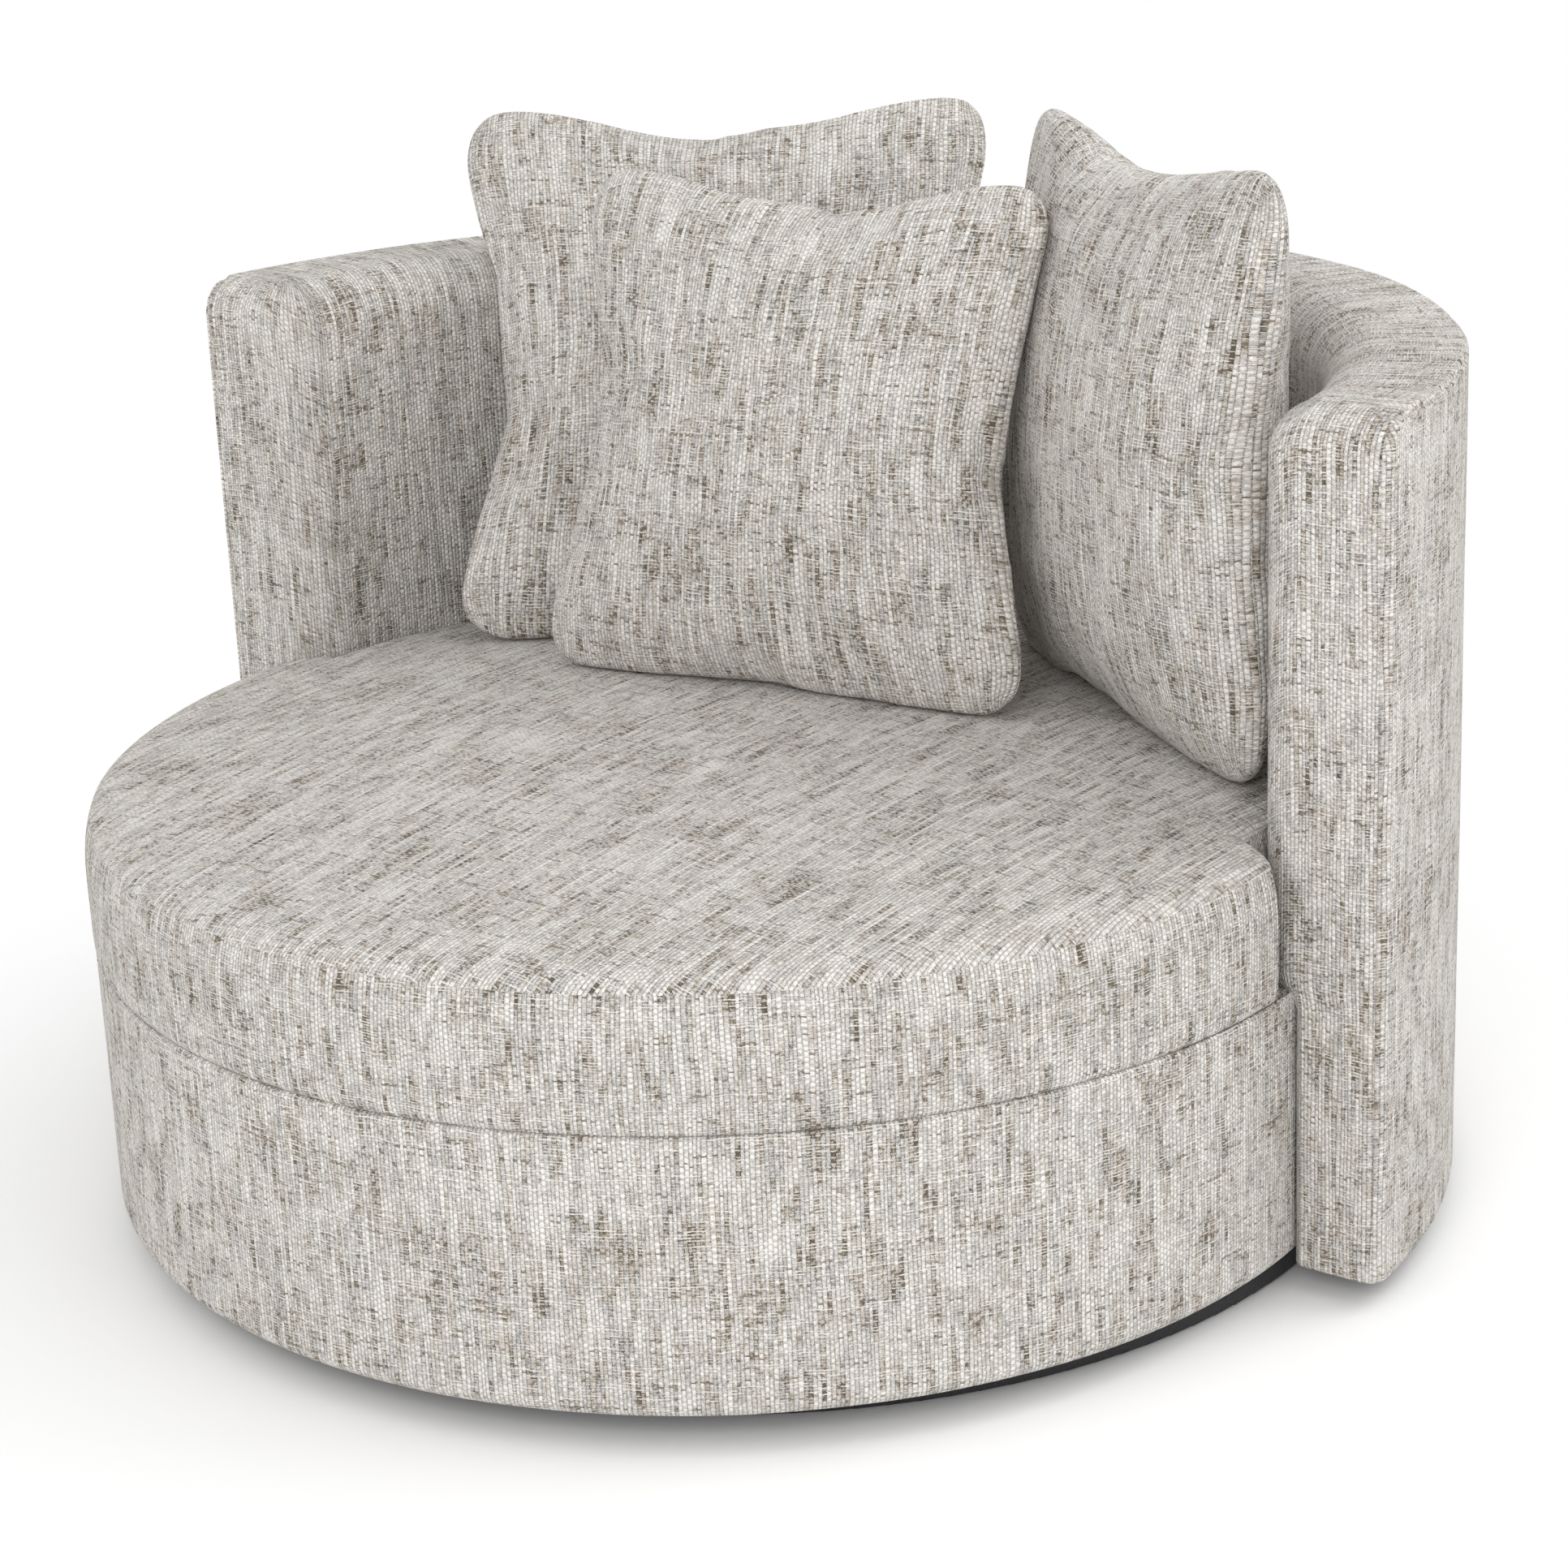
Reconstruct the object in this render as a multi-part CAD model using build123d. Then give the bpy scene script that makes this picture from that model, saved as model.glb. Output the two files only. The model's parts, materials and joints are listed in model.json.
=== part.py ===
"""Swivel armchair: an upholstered drum with a round seat, a half-round back and three loose cushions.

Millimetres. The origin is on the floor at the swivel axis, +Z up, and the sitter faces -Y.
The drum stands a little in front of the swivel axis, so that the back's weight is balanced over it.
"""

from build123d import *
from math import asin, cos, radians, sin, sqrt
import os

# Fits and cloth
FIT = 0.2            # gap between glued, stapled or stacked layers
SOFT_FIT = 0.5       # gap round a loose soft piece
RUN_FIT = 0.05       # radial gap of a pin in its hole
HOLE_FIT = 0.2       # radial gap of a screw or bolt in a through hole
CLOTH = 3.0          # the chunky cover fabric
LINING = 1.5         # black dust cloth under the drum and the back

# Floor base
GLIDE_RADIUS = 16.0
GLIDE_HEIGHT = 3.0
GLIDE_PIN_RADIUS = 3.0
GLIDE_PIN_LENGTH = 9.0
GLIDE_COUNT = 8
GLIDE_INSET = 45.0           # from the plinth's edge to a glide's centre
CENTRE_GLIDE_RADIUS = 24.0
PLINTH_INSET = 20.0          # the plinth's radius is smaller than the drum's by this
PLINTH_THICKNESS = 18.0
PLINTH_EDGE_ROUND = 2.0

# Ball bearing swivel
PLATE_RADIUS = 165.0
PLATE_THICKNESS = 6.0
BALL_RADIUS = 5.0
BALL_COUNT = 24
BALL_CIRCLE_INSET = 40.0     # from a plate's edge to the circle of balls
RACE_DEPTH = 2.0
RACE_FIT = 0.1
CAGE_THICKNESS = 2.0
CAGE_WIDTH = 24.0
KING_BOLT_RADIUS = 8.0
KING_HEAD_RADIUS = 14.0
KING_HEAD_HEIGHT = 8.0
KING_HEAD_RECESS_FIT = 1.0
KING_WASHER_RADIUS = 16.0
KING_WASHER_THICKNESS = 2.0
KING_NUT_HEIGHT = 13.0
KING_NUT_RADIUS = 13.8       # to the corners of the hexagon
KING_THREAD_PROUD = 4.0
PLATE_SCREW_RADIUS = 2.2
PLATE_SCREW_HEAD_RADIUS = 4.5
PLATE_SCREW_HEAD_HEIGHT = 2.6
PLATE_SCREW_GRIP = 12.0      # how far a screw goes into the board
PLATE_SCREW_COUNT = 6
LOWER_SCREW_INSET = 17.0     # from the lower plate's edge
UPPER_SCREW_INSET = 25.0     # from the ball circle, inwards

# Drum
DRUM_SETBACK = 50.0          # the drum's centre is this far in front of the swivel axis
DRUM_RADIUS = 580.0
DRUM_BOTTOM = 30.0           # lower edge of the cover above the floor
DRUM_TOP = 277.0
DRUM_HEM_WIDTH = 35.0
DRUM_PADDING = 10.6
DRUM_WALL = 4.0
BOARD = 18.0                 # plywood boards and rails
NUT_HOLE_RADIUS = 45.0       # hole in the drum's floor, for the king nut
DECK_RING_WIDTH = 92.0
DECK_PAD = 12.0
WEB_WIDTH = 60.0
WEB_THICKNESS = 2.0
WEB_PITCH = 132.0
WEB_HALF_COUNT = 3           # bands on each side of the middle one
WEB_LAP = 46.0               # how far a band lies on the deck ring
POST_DEPTH = 40.0            # drum posts, along the radius
POST_WIDTH = 44.0            # drum and back posts, along the circle
POST_FIRST_ANGLE = 15.0
POST_STEP_ANGLE = 37.5
POST_COUNT = 5               # behind, and as many in front

# Seat cushion
SEAT_OVERHANG = 1.0          # the seat stands out over the drum
SEAT_EDGE_IN = 8.0           # the seams draw the boxing in, top and bottom
SEAT_BOXING = 126.0          # height of the boxing
SEAT_CROWN = 35.0            # rise of the top from its seam to the middle

# Back and arms
BACK_TOP = 776.0
BACK_BOTTOM = 24.0
BACK_THICKNESS = 82.5        # where it stands beside the drum
BACK_OVERHANG = 42.0         # the padding reaches in over the drum's edge
BACK_END_Y = 24.0            # flat arm ends, measured from the drum's centre
BACK_ROLL = 36.0             # rounding of the inner top edge and inner arm corners
BACK_NOSE = 20.0             # rounding of the top edge at the arm ends
ROUNDING_EASE = 0.32         # how far in from the corner the middle of such a rounding lies
BACK_CRISP = 6.0             # rounding at the outer top seam
BACK_HEEL = 12.0             # rounding at the outer bottom edge
BACK_WADDING = 4.6
BACK_PANEL = 4.0
BACK_END_PAD = 11.6
BACK_TOP_PAD = 14.6
END_BOARD = 15.0
BOLT_RADIUS = 4.0
BOLT_HEAD_RADIUS = 7.0
BOLT_HEAD_HEIGHT = 5.3
BOLT_GRIP = 34.0             # how far a bolt goes into a back post
BOLT_WASHER_RADIUS = 10.0
BOLT_WASHER_THICKNESS = 1.6
BOLT_LOW = 110.0
BOLT_HIGH = 210.0

# Scatter cushions
CUSHION_CLOTH = 2.0
CUSHION_DRAW_IN = 15.0       # the sides pull in between the corners
CUSHION_ROUNDNESS = 0.30     # how round the outline gets towards the crown
CUSHION_CROWN_POWER = 2.6
CUSHION_STATIONS = (1.0, 0.93, 0.8, 0.58, 0.26)   # shares of the outline, from the seam to the crown
CUSHION_SINK = 9.0           # how far the lower edge presses into the seat before it is flattened
FRONT_CUSHION_SIZE = 456.0
FRONT_CUSHION_THICKNESS = 160.0
REAR_CUSHION_SIZE = 506.0
REAR_CUSHION_THICKNESS = 174.0
# Each lower edge's middle: angle round the drum's centre and distance in from the back's inner face
FRONT_CUSHION_ANGLE, FRONT_CUSHION_STANDOFF = 94.4, 449.0
LEFT_CUSHION_ANGLE, LEFT_CUSHION_STANDOFF = 125.7, 243.0
RIGHT_CUSHION_ANGLE, RIGHT_CUSHION_STANDOFF = 38.1, 162.0
FRONT_CUSHION_YAW, FRONT_CUSHION_LEAN = 8.2, 14.5
LEFT_CUSHION_YAW, LEFT_CUSHION_LEAN = 34.4, 23.5
RIGHT_CUSHION_YAW, RIGHT_CUSHION_LEAN = -33.6, 2.5

# Levels above the floor
plinth_top = GLIDE_HEIGHT + PLINTH_THICKNESS
lower_plate_top = plinth_top + PLATE_THICKNESS
ball_level = lower_plate_top - RACE_DEPTH + BALL_RADIUS
upper_plate_bottom = ball_level + BALL_RADIUS - RACE_DEPTH
upper_plate_top = upper_plate_bottom + PLATE_THICKNESS
drum_floor_top = upper_plate_top + BOARD
deck_cover_bottom = DRUM_TOP - CLOTH
deck_pad_bottom = deck_cover_bottom - FIT - DECK_PAD
upper_web_bottom = deck_pad_bottom - WEB_THICKNESS
deck_ring_top = upper_web_bottom - WEB_THICKNESS
deck_ring_bottom = deck_ring_top - BOARD
seat_bottom = DRUM_TOP + FIT
seat_seam = seat_bottom + SEAT_BOXING
seat_crown = seat_seam + SEAT_CROWN
back_step = DRUM_TOP + SOFT_FIT
back_rail_bottom = BACK_BOTTOM + LINING + FIT
back_frame_top = BACK_TOP - CLOTH - FIT - BACK_TOP_PAD - FIT

# The plinth's radius about the swivel axis
plinth_radius = DRUM_RADIUS - PLINTH_INSET

# Radii about the drum's centre
drum_padding_radius = DRUM_RADIUS - CLOTH - FIT
drum_wall_radius = drum_padding_radius - DRUM_PADDING - FIT
drum_frame_radius = drum_wall_radius - DRUM_WALL - FIT
deck_ring_inner = drum_frame_radius - DECK_RING_WIDTH
seat_radius = DRUM_RADIUS + SEAT_OVERHANG
back_inner = DRUM_RADIUS - BACK_OVERHANG
back_lower_inner = DRUM_RADIUS + SOFT_FIT
back_outer = back_lower_inner + BACK_THICKNESS
inner_panel_radius = back_lower_inner + CLOTH + FIT
back_frame_inner = inner_panel_radius + BACK_PANEL + FIT
outer_panel_radius = back_outer - CLOTH - FIT - BACK_WADDING - FIT
back_frame_outer = outer_panel_radius - BACK_PANEL - FIT
back_frame_end = BACK_END_Y + CLOTH + FIT + BACK_END_PAD + FIT
beyond = 4 * back_outer      # larger than the chair, for forms that only cut

LEVEL = (Align.CENTER, Align.CENTER, Align.MIN)
DRUM = Pos(0, -DRUM_SETBACK, 0)
rear_post_angles = [POST_FIRST_ANGLE + i * POST_STEP_ANGLE for i in range(POST_COUNT)]
all_post_angles = rear_post_angles + [-angle for angle in rear_post_angles]


def disc(radius, low, high):
    """A round plate between two levels."""
    return Pos(0, 0, low) * Cylinder(radius, high - low, align=LEVEL)


def ring(outer, inner, low, high):
    """A round band between two radii and two levels."""
    return disc(outer, low, high) - disc(inner, low, high)


def behind(y):
    """Everything behind a plane across the chair, to cut rings down to the back's half."""
    return Pos(0, y, 0) * Box(beyond, beyond, beyond, align=(Align.CENTER, Align.MIN, Align.CENTER))


def half_ring(outer, inner, low, high):
    """A band of the back's frame, cut flat at the arm ends."""
    return ring(outer, inner, low, high) & behind(back_frame_end)


def round_the(count, radius, shape):
    """Copies of a shape spaced evenly on a circle."""
    return [loc * shape for loc in PolarLocations(radius, count)]


def save(name, shape):
    """Write one node."""
    export_step(shape, f"parts/{name}.step")


def save_group(name, shapes, place=Pos(0, 0, 0)):
    """Write separate solids that share one node."""
    save(name, Compound(children=[place * shape for shape in shapes]))


def drilled(shape, holes):
    """A shape with each of the holes cut through it."""
    for hole in holes:
        shape = shape - hole
    return shape


def profile(*edges):
    """A closed outline drawn as radius and height, stood up for turning about the vertical axis."""
    return Plane.XZ * make_face(edges)


# Floor base and swivel: all turn about the swivel axis, which is the origin's vertical


def floor_glides():
    glide = disc(GLIDE_RADIUS, 0, GLIDE_HEIGHT)
    pin = disc(GLIDE_PIN_RADIUS, GLIDE_HEIGHT, GLIDE_HEIGHT + GLIDE_PIN_LENGTH)
    around = round_the(GLIDE_COUNT, plinth_radius - GLIDE_INSET, glide + pin)
    return around + [disc(CENTRE_GLIDE_RADIUS, 0, GLIDE_HEIGHT)]


def plate_screw(under_head, way):
    """A pan-head screw with its head on a plate; way is 1 for a head above, -1 for a head below."""
    shank = Cylinder(PLATE_SCREW_RADIUS, PLATE_THICKNESS + PLATE_SCREW_GRIP,
                     align=(Align.CENTER, Align.CENTER, Align.MAX if way > 0 else Align.MIN))
    head = Cylinder(PLATE_SCREW_HEAD_RADIUS, PLATE_SCREW_HEAD_HEIGHT,
                    align=(Align.CENTER, Align.CENTER, Align.MIN if way > 0 else Align.MAX))
    return Pos(0, 0, under_head) * (shank + head)


def screw_holes(circle, fit, low, high):
    return round_the(PLATE_SCREW_COUNT, circle, disc(PLATE_SCREW_RADIUS + fit, low, high))


ball_circle = PLATE_RADIUS - BALL_CIRCLE_INSET
lower_screw_circle = PLATE_RADIUS - LOWER_SCREW_INSET
upper_screw_circle = ball_circle - UPPER_SCREW_INSET
race = Pos(0, 0, ball_level) * Torus(ball_circle, BALL_RADIUS + RACE_FIT)
king_head_top = GLIDE_HEIGHT + PLINTH_THICKNESS / 2
king_washer_bottom = upper_plate_top + FIT
king_nut_bottom = king_washer_bottom + KING_WASHER_THICKNESS
king_end = king_nut_bottom + KING_NUT_HEIGHT + KING_THREAD_PROUD


def plinth():
    board = disc(plinth_radius, GLIDE_HEIGHT, plinth_top)
    board = fillet(board.edges().filter_by(GeomType.CIRCLE), PLINTH_EDGE_ROUND)
    pin_hole = disc(GLIDE_PIN_RADIUS + RUN_FIT, GLIDE_HEIGHT, GLIDE_HEIGHT + GLIDE_PIN_LENGTH)
    holes = round_the(GLIDE_COUNT, plinth_radius - GLIDE_INSET, pin_hole)
    screw_bottom = plinth_top - PLATE_SCREW_GRIP
    holes += screw_holes(lower_screw_circle, RUN_FIT, screw_bottom, plinth_top)
    holes.append(disc(KING_BOLT_RADIUS + RUN_FIT, GLIDE_HEIGHT, plinth_top))
    holes.append(disc(KING_HEAD_RADIUS + KING_HEAD_RECESS_FIT, GLIDE_HEIGHT, king_head_top))
    return drilled(board, holes)


def swivel_plate(low, high, screw_circle):
    plate = disc(PLATE_RADIUS, low, high) - race - disc(KING_BOLT_RADIUS + RUN_FIT, low, high)
    return drilled(plate, screw_holes(screw_circle, HOLE_FIT, low, high))


def king_bolt():
    head = disc(KING_HEAD_RADIUS, king_head_top - KING_HEAD_HEIGHT, king_head_top)
    return head + disc(KING_BOLT_RADIUS, king_head_top, king_end)


def king_nut():
    hexagon = Pos(0, 0, king_nut_bottom) * extrude(RegularPolygon(KING_NUT_RADIUS, 6), KING_NUT_HEIGHT)
    return hexagon - disc(KING_BOLT_RADIUS + RUN_FIT, king_nut_bottom, king_end)


def ball_cage():
    low = ball_level - CAGE_THICKNESS / 2
    high = ball_level + CAGE_THICKNESS / 2
    band = ring(ball_circle + CAGE_WIDTH / 2, ball_circle - CAGE_WIDTH / 2, low, high)
    return drilled(band, round_the(BALL_COUNT, ball_circle, disc(BALL_RADIUS + HOLE_FIT, low, high)))


def bearing_balls():
    return round_the(BALL_COUNT, ball_circle, Pos(0, 0, ball_level) * Sphere(BALL_RADIUS))


os.makedirs("parts", exist_ok=True)
save_group("floor_glides", floor_glides())
save("plinth", plinth())
save("lower_swivel_plate", swivel_plate(plinth_top, lower_plate_top, lower_screw_circle))
lower_screw = plate_screw(lower_plate_top, 1)
save_group("lower_plate_screws", round_the(PLATE_SCREW_COUNT, lower_screw_circle, lower_screw))
save("king_bolt", king_bolt())
save("king_washer", ring(KING_WASHER_RADIUS, KING_BOLT_RADIUS + RUN_FIT, king_washer_bottom, king_nut_bottom))
save("king_nut", king_nut())
save("ball_cage", ball_cage())
save_group("bearing_balls", bearing_balls())
save("upper_swivel_plate", swivel_plate(upper_plate_bottom, upper_plate_top, upper_screw_circle))
upper_screw = plate_screw(upper_plate_bottom, -1)
save_group("upper_plate_screws", round_the(PLATE_SCREW_COUNT, upper_screw_circle, upper_screw))


# Drum: all but its swivel holes are turned about the drum's own centre


def post(angle, near, far, low, high):
    """An upright between two distances from the drum's centre."""
    block = Box(far - near, POST_WIDTH, high - low, align=(Align.MIN, Align.CENTER, Align.MIN))
    return Rot(0, 0, angle) * Pos(near, 0, low) * block


def flat_inside(radius):
    """How far out a post's flat face can stand inside a round wall."""
    return sqrt(radius**2 - (POST_WIDTH / 2) ** 2)


def along_bolts(radius, start, end):
    """A round bar on each back bolt's line, between two distances from the drum's centre."""
    bar = Rot(0, 90, 0) * Cylinder(radius, end - start, align=LEVEL)
    return [Rot(0, 0, angle) * Pos(start, 0, height) * bar
            for angle in rear_post_angles for height in (BOLT_LOW, BOLT_HIGH)]


drum_post_far = flat_inside(drum_frame_radius) - FIT
drum_post_near = drum_post_far - POST_DEPTH
back_post_near = back_frame_inner + FIT
back_post_far = flat_inside(back_frame_outer) - FIT
bolt_end = back_post_near + BOLT_GRIP
bolt_holes = along_bolts(BOLT_RADIUS + HOLE_FIT, drum_post_near, back_post_near)
swivel_axis = Pos(0, DRUM_SETBACK, 0)


def drum_floor():
    board = disc(drum_frame_radius, upper_plate_top, drum_floor_top)
    screw_top = upper_plate_top + PLATE_SCREW_GRIP
    holes = screw_holes(upper_screw_circle, RUN_FIT, upper_plate_top, screw_top)
    holes.append(disc(NUT_HOLE_RADIUS, upper_plate_top, drum_floor_top))
    return drilled(board, [swivel_axis * hole for hole in holes])


def drum_posts():
    posts = [post(angle, drum_post_near, drum_post_far, drum_floor_top, deck_ring_bottom)
             for angle in all_post_angles]
    return [drilled(one, bolt_holes) for one in posts]


def webbing(low, across):
    """One layer of elastic bands over the deck ring; across lays them from side to side."""
    reach = deck_ring_inner + WEB_LAP
    bands = []
    for i in range(-WEB_HALF_COUNT, WEB_HALF_COUNT + 1):
        outer_edge = abs(i) * WEB_PITCH + WEB_WIDTH / 2
        length = 2 * sqrt(reach**2 - outer_edge**2)
        band = Pos(i * WEB_PITCH, 0, low) * Box(WEB_WIDTH, length, WEB_THICKNESS, align=LEVEL)
        bands.append(Rot(0, 0, 90 if across else 0) * band)
    return bands


def drum_cover():
    side = ring(DRUM_RADIUS, DRUM_RADIUS - CLOTH, DRUM_BOTTOM, DRUM_TOP)
    hem = ring(DRUM_RADIUS, DRUM_RADIUS - DRUM_HEM_WIDTH, DRUM_BOTTOM, DRUM_BOTTOM + CLOTH)
    return drilled(side + hem, bolt_holes)


drum_inside_bottom = DRUM_BOTTOM + CLOTH + FIT
drum_padding_inner = drum_wall_radius + FIT
save("drum_floor", DRUM * drum_floor())
save_group("drum_posts", drum_posts(), DRUM)
save("deck_ring", DRUM * ring(drum_frame_radius, deck_ring_inner, deck_ring_bottom, deck_ring_top))
save_group("webbing_crosswise", webbing(deck_ring_top, across=True), DRUM)
save_group("webbing_lengthwise", webbing(upper_web_bottom, across=False), DRUM)
save("deck_pad", DRUM * disc(drum_frame_radius, deck_pad_bottom, deck_pad_bottom + DECK_PAD))
save("deck_cover", DRUM * disc(drum_padding_radius, deck_cover_bottom, DRUM_TOP))
wall_ring = ring(drum_wall_radius, drum_wall_radius - DRUM_WALL, drum_inside_bottom, deck_pad_bottom)
save("drum_wall", DRUM * drilled(wall_ring, bolt_holes))
pad_ring = ring(drum_padding_radius, drum_padding_inner, drum_inside_bottom, deck_cover_bottom - FIT)
save("drum_padding", DRUM * drilled(pad_ring, bolt_holes))
save("drum_cover", DRUM * drum_cover())
dust_disc = disc(DRUM_RADIUS - DRUM_HEM_WIDTH - FIT, upper_plate_top - LINING, upper_plate_top)
dust_hole = disc(PLATE_RADIUS + HOLE_FIT, upper_plate_top - LINING, upper_plate_top)
save("drum_dust_cover", DRUM * (dust_disc - swivel_axis * dust_hole))


# Seat cushion: a boxed round cushion, narrower behind, where it goes in between the arms


def crown_arc(edge_radius, edge_level, top_level):
    """The domed top, from its seam up to the middle."""
    rise = top_level - edge_level
    sphere = (edge_radius**2 + rise**2) / (2 * rise)
    halfway = edge_radius / 2
    middle = (halfway, top_level - sphere + sqrt(sphere**2 - halfway**2))
    return ThreePointArc((edge_radius, edge_level), middle, (0, top_level))


def seat_level(radius):
    """Height of the seat's top at a distance from the drum's centre."""
    edge = seat_radius - SEAT_EDGE_IN
    sphere = (edge**2 + SEAT_CROWN**2) / (2 * SEAT_CROWN)
    return seat_crown - sphere + sqrt(sphere**2 - radius**2)


def seat_form(inset):
    """The seat's outside, or a form inside it by the inset."""
    edge = seat_radius - SEAT_EDGE_IN - inset
    low, seam, top = seat_bottom + inset, seat_seam - inset, seat_crown - inset
    turned = revolve(profile(
        Line((0, top), (0, low)),
        Line((0, low), (edge, low)),
        ThreePointArc((edge, low), (seat_radius - inset, (low + seam) / 2), (edge, seam)),
        crown_arc(edge, seam, top)), Axis.Z)
    arms = ring(beyond, back_inner - SOFT_FIT - inset, seat_bottom, seat_crown)
    return turned - (arms & behind(BACK_END_Y - SOFT_FIT - inset))


save("seat_foam", DRUM * seat_form(CLOTH + FIT))
save("seat_cover", DRUM * (seat_form(0) - seat_form(CLOTH)))


# Back and arms: half-round about the drum's centre, cut flat at the arm ends


def back_section(inset):
    """The back's section, from its open bottom round the rolled inner edge, turned all the way round."""
    inner, lower, outer = back_inner + inset, back_lower_inner + inset, back_outer - inset
    top, step, roll = BACK_TOP - inset, back_step + inset, BACK_ROLL - inset
    roll_in, crisp_in, heel_in = [(1 - sqrt(0.5)) * r for r in (roll, BACK_CRISP, BACK_HEEL)]
    return revolve(profile(
        Line((lower, BACK_BOTTOM), (outer - BACK_HEEL, BACK_BOTTOM)),
        ThreePointArc((outer - BACK_HEEL, BACK_BOTTOM), (outer - heel_in, BACK_BOTTOM + heel_in),
                      (outer, BACK_BOTTOM + BACK_HEEL)),
        Line((outer, BACK_BOTTOM + BACK_HEEL), (outer, top - BACK_CRISP)),
        ThreePointArc((outer, top - BACK_CRISP), (outer - crisp_in, top - crisp_in),
                      (outer - BACK_CRISP, top)),
        Line((outer - BACK_CRISP, top), (inner + roll, top)),
        ThreePointArc((inner + roll, top), (inner + roll_in, top - roll_in), (inner, top - roll)),
        Line((inner, top - roll), (inner, step)),
        Line((inner, step), (lower, step)),
        Line((lower, step), (lower, BACK_BOTTOM))), Axis.Z)


def eased(start, corner, end):
    """An arc that rounds a corner, a little flatter than a quarter circle."""
    halfway = tuple(c + ROUNDING_EASE * (a - c + b - c) for a, c, b in zip(start, corner, end))
    return ThreePointArc(start, halfway, end)


def back_form(inset):
    """The back's outside, or a form inside it by the inset; both stay open at the bottom."""
    inner, outer, end = back_inner + inset, back_outer - inset, BACK_END_Y + inset
    top, nose, roll = BACK_TOP - inset, BACK_NOSE - inset, BACK_ROLL - inset
    plan = Circle(outer) - Circle(inner)
    plan &= Pos(0, end) * Rectangle(beyond, beyond, align=(Align.CENTER, Align.MIN))
    corner = (sqrt(inner**2 - end**2), end)
    on_end, cut_away = (corner[0] + roll, end), (corner[0] - roll, end - roll)
    turn = asin(end / inner) + roll / inner
    on_inner = (inner * cos(turn), inner * sin(turn))
    waste = make_face([Line(on_end, cut_away), Line(cut_away, on_inner), eased(on_inner, corner, on_end)])
    plan = plan - waste - mirror(waste, Plane.YZ)
    flats = Polyline((end + nose, top), (end + beyond, top), (end + beyond, 0), (end, 0), (end, top - nose))
    side = make_face(flats.edges() + [eased((end, top - nose), (end, top), (end + nose, top))])
    across = Pos(-beyond / 2, 0, 0) * extrude(Plane.YZ * side, beyond)
    return back_section(inset) & extrude(plan, BACK_TOP) & across


def back_posts():
    low, high = back_rail_bottom + BOARD, back_frame_top - BOARD
    pilot_holes = along_bolts(BOLT_RADIUS + RUN_FIT, back_post_near, bolt_end)
    posts = [post(angle, back_post_near, back_post_far, low, high) for angle in rear_post_angles]
    return [drilled(one, pilot_holes) for one in posts]


def back_bolts():
    washer_start = drum_post_near - BOLT_WASHER_THICKNESS
    heads = along_bolts(BOLT_HEAD_RADIUS, washer_start - BOLT_HEAD_HEIGHT, washer_start)
    shanks = along_bolts(BOLT_RADIUS, washer_start, bolt_end)
    return [head + shank for head, shank in zip(heads, shanks)]


def back_washers():
    start = drum_post_near - BOLT_WASHER_THICKNESS
    plates = along_bolts(BOLT_WASHER_RADIUS, start, drum_post_near)
    bores = along_bolts(BOLT_RADIUS + RUN_FIT, start, drum_post_near)
    return [plate - bore for plate, bore in zip(plates, bores)]


panel_bottom = BACK_BOTTOM + BACK_HEEL
end_board_low, end_board_high = back_rail_bottom + BOARD, back_frame_top - BOARD
padding_space = back_form(CLOTH + FIT)
over_frame = ring(beyond, inner_panel_radius, back_frame_top + FIT, BACK_TOP)
before_frame = ring(beyond, inner_panel_radius, back_rail_bottom, back_frame_top)
before_frame -= behind(back_frame_end - FIT)
round_frame = ring(beyond, outer_panel_radius + FIT, BACK_BOTTOM, back_frame_top)
cover_form = back_form(0) - back_form(CLOTH)
outer_face = ring(beyond, back_outer - CLOTH, BACK_BOTTOM, BACK_TOP)
end_boards = ring(back_frame_outer, back_frame_inner, end_board_low, end_board_high)
end_boards = (end_boards & behind(back_frame_end)) - behind(back_frame_end + END_BOARD)
dust_ring = ring(back_outer - CLOTH - FIT - BACK_HEEL, back_lower_inner + CLOTH + FIT,
                 BACK_BOTTOM, BACK_BOTTOM + LINING)
inner_panel = half_ring(inner_panel_radius + BACK_PANEL, inner_panel_radius, panel_bottom, back_frame_top)

save("back_bottom_rail", DRUM * half_ring(back_frame_outer, back_frame_inner,
                                          back_rail_bottom, back_rail_bottom + BOARD))
save("back_top_rail", DRUM * half_ring(back_frame_outer, back_frame_inner,
                                       back_frame_top - BOARD, back_frame_top))
save_group("back_posts", back_posts(), DRUM)
save("back_end_boards", DRUM * end_boards)
save("back_inner_panel", DRUM * drilled(inner_panel, bolt_holes))
save("back_outer_panel", DRUM * half_ring(outer_panel_radius, outer_panel_radius - BACK_PANEL,
                                          panel_bottom, back_frame_top))
save("back_inner_foam", DRUM * (padding_space & disc(inner_panel_radius - FIT, BACK_BOTTOM, BACK_TOP)))
save("back_top_pad", DRUM * (padding_space & over_frame))
save("back_end_pads", DRUM * (padding_space & before_frame))
save("back_wadding", DRUM * (padding_space & round_frame & behind(back_frame_end)))
save("back_inner_cover", DRUM * drilled(cover_form - outer_face, bolt_holes))
save("back_outer_cover", DRUM * (cover_form & outer_face))
save("back_dust_strip", DRUM * (dust_ring & behind(BACK_END_Y + CLOTH + FIT + BACK_HEEL)))
save_group("back_bolts", back_bolts(), DRUM)
save_group("back_washers", back_washers(), DRUM)


# Scatter cushions: two crowned halves sewn along a drawn-in outline, flattened where they stand on the seat


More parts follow.
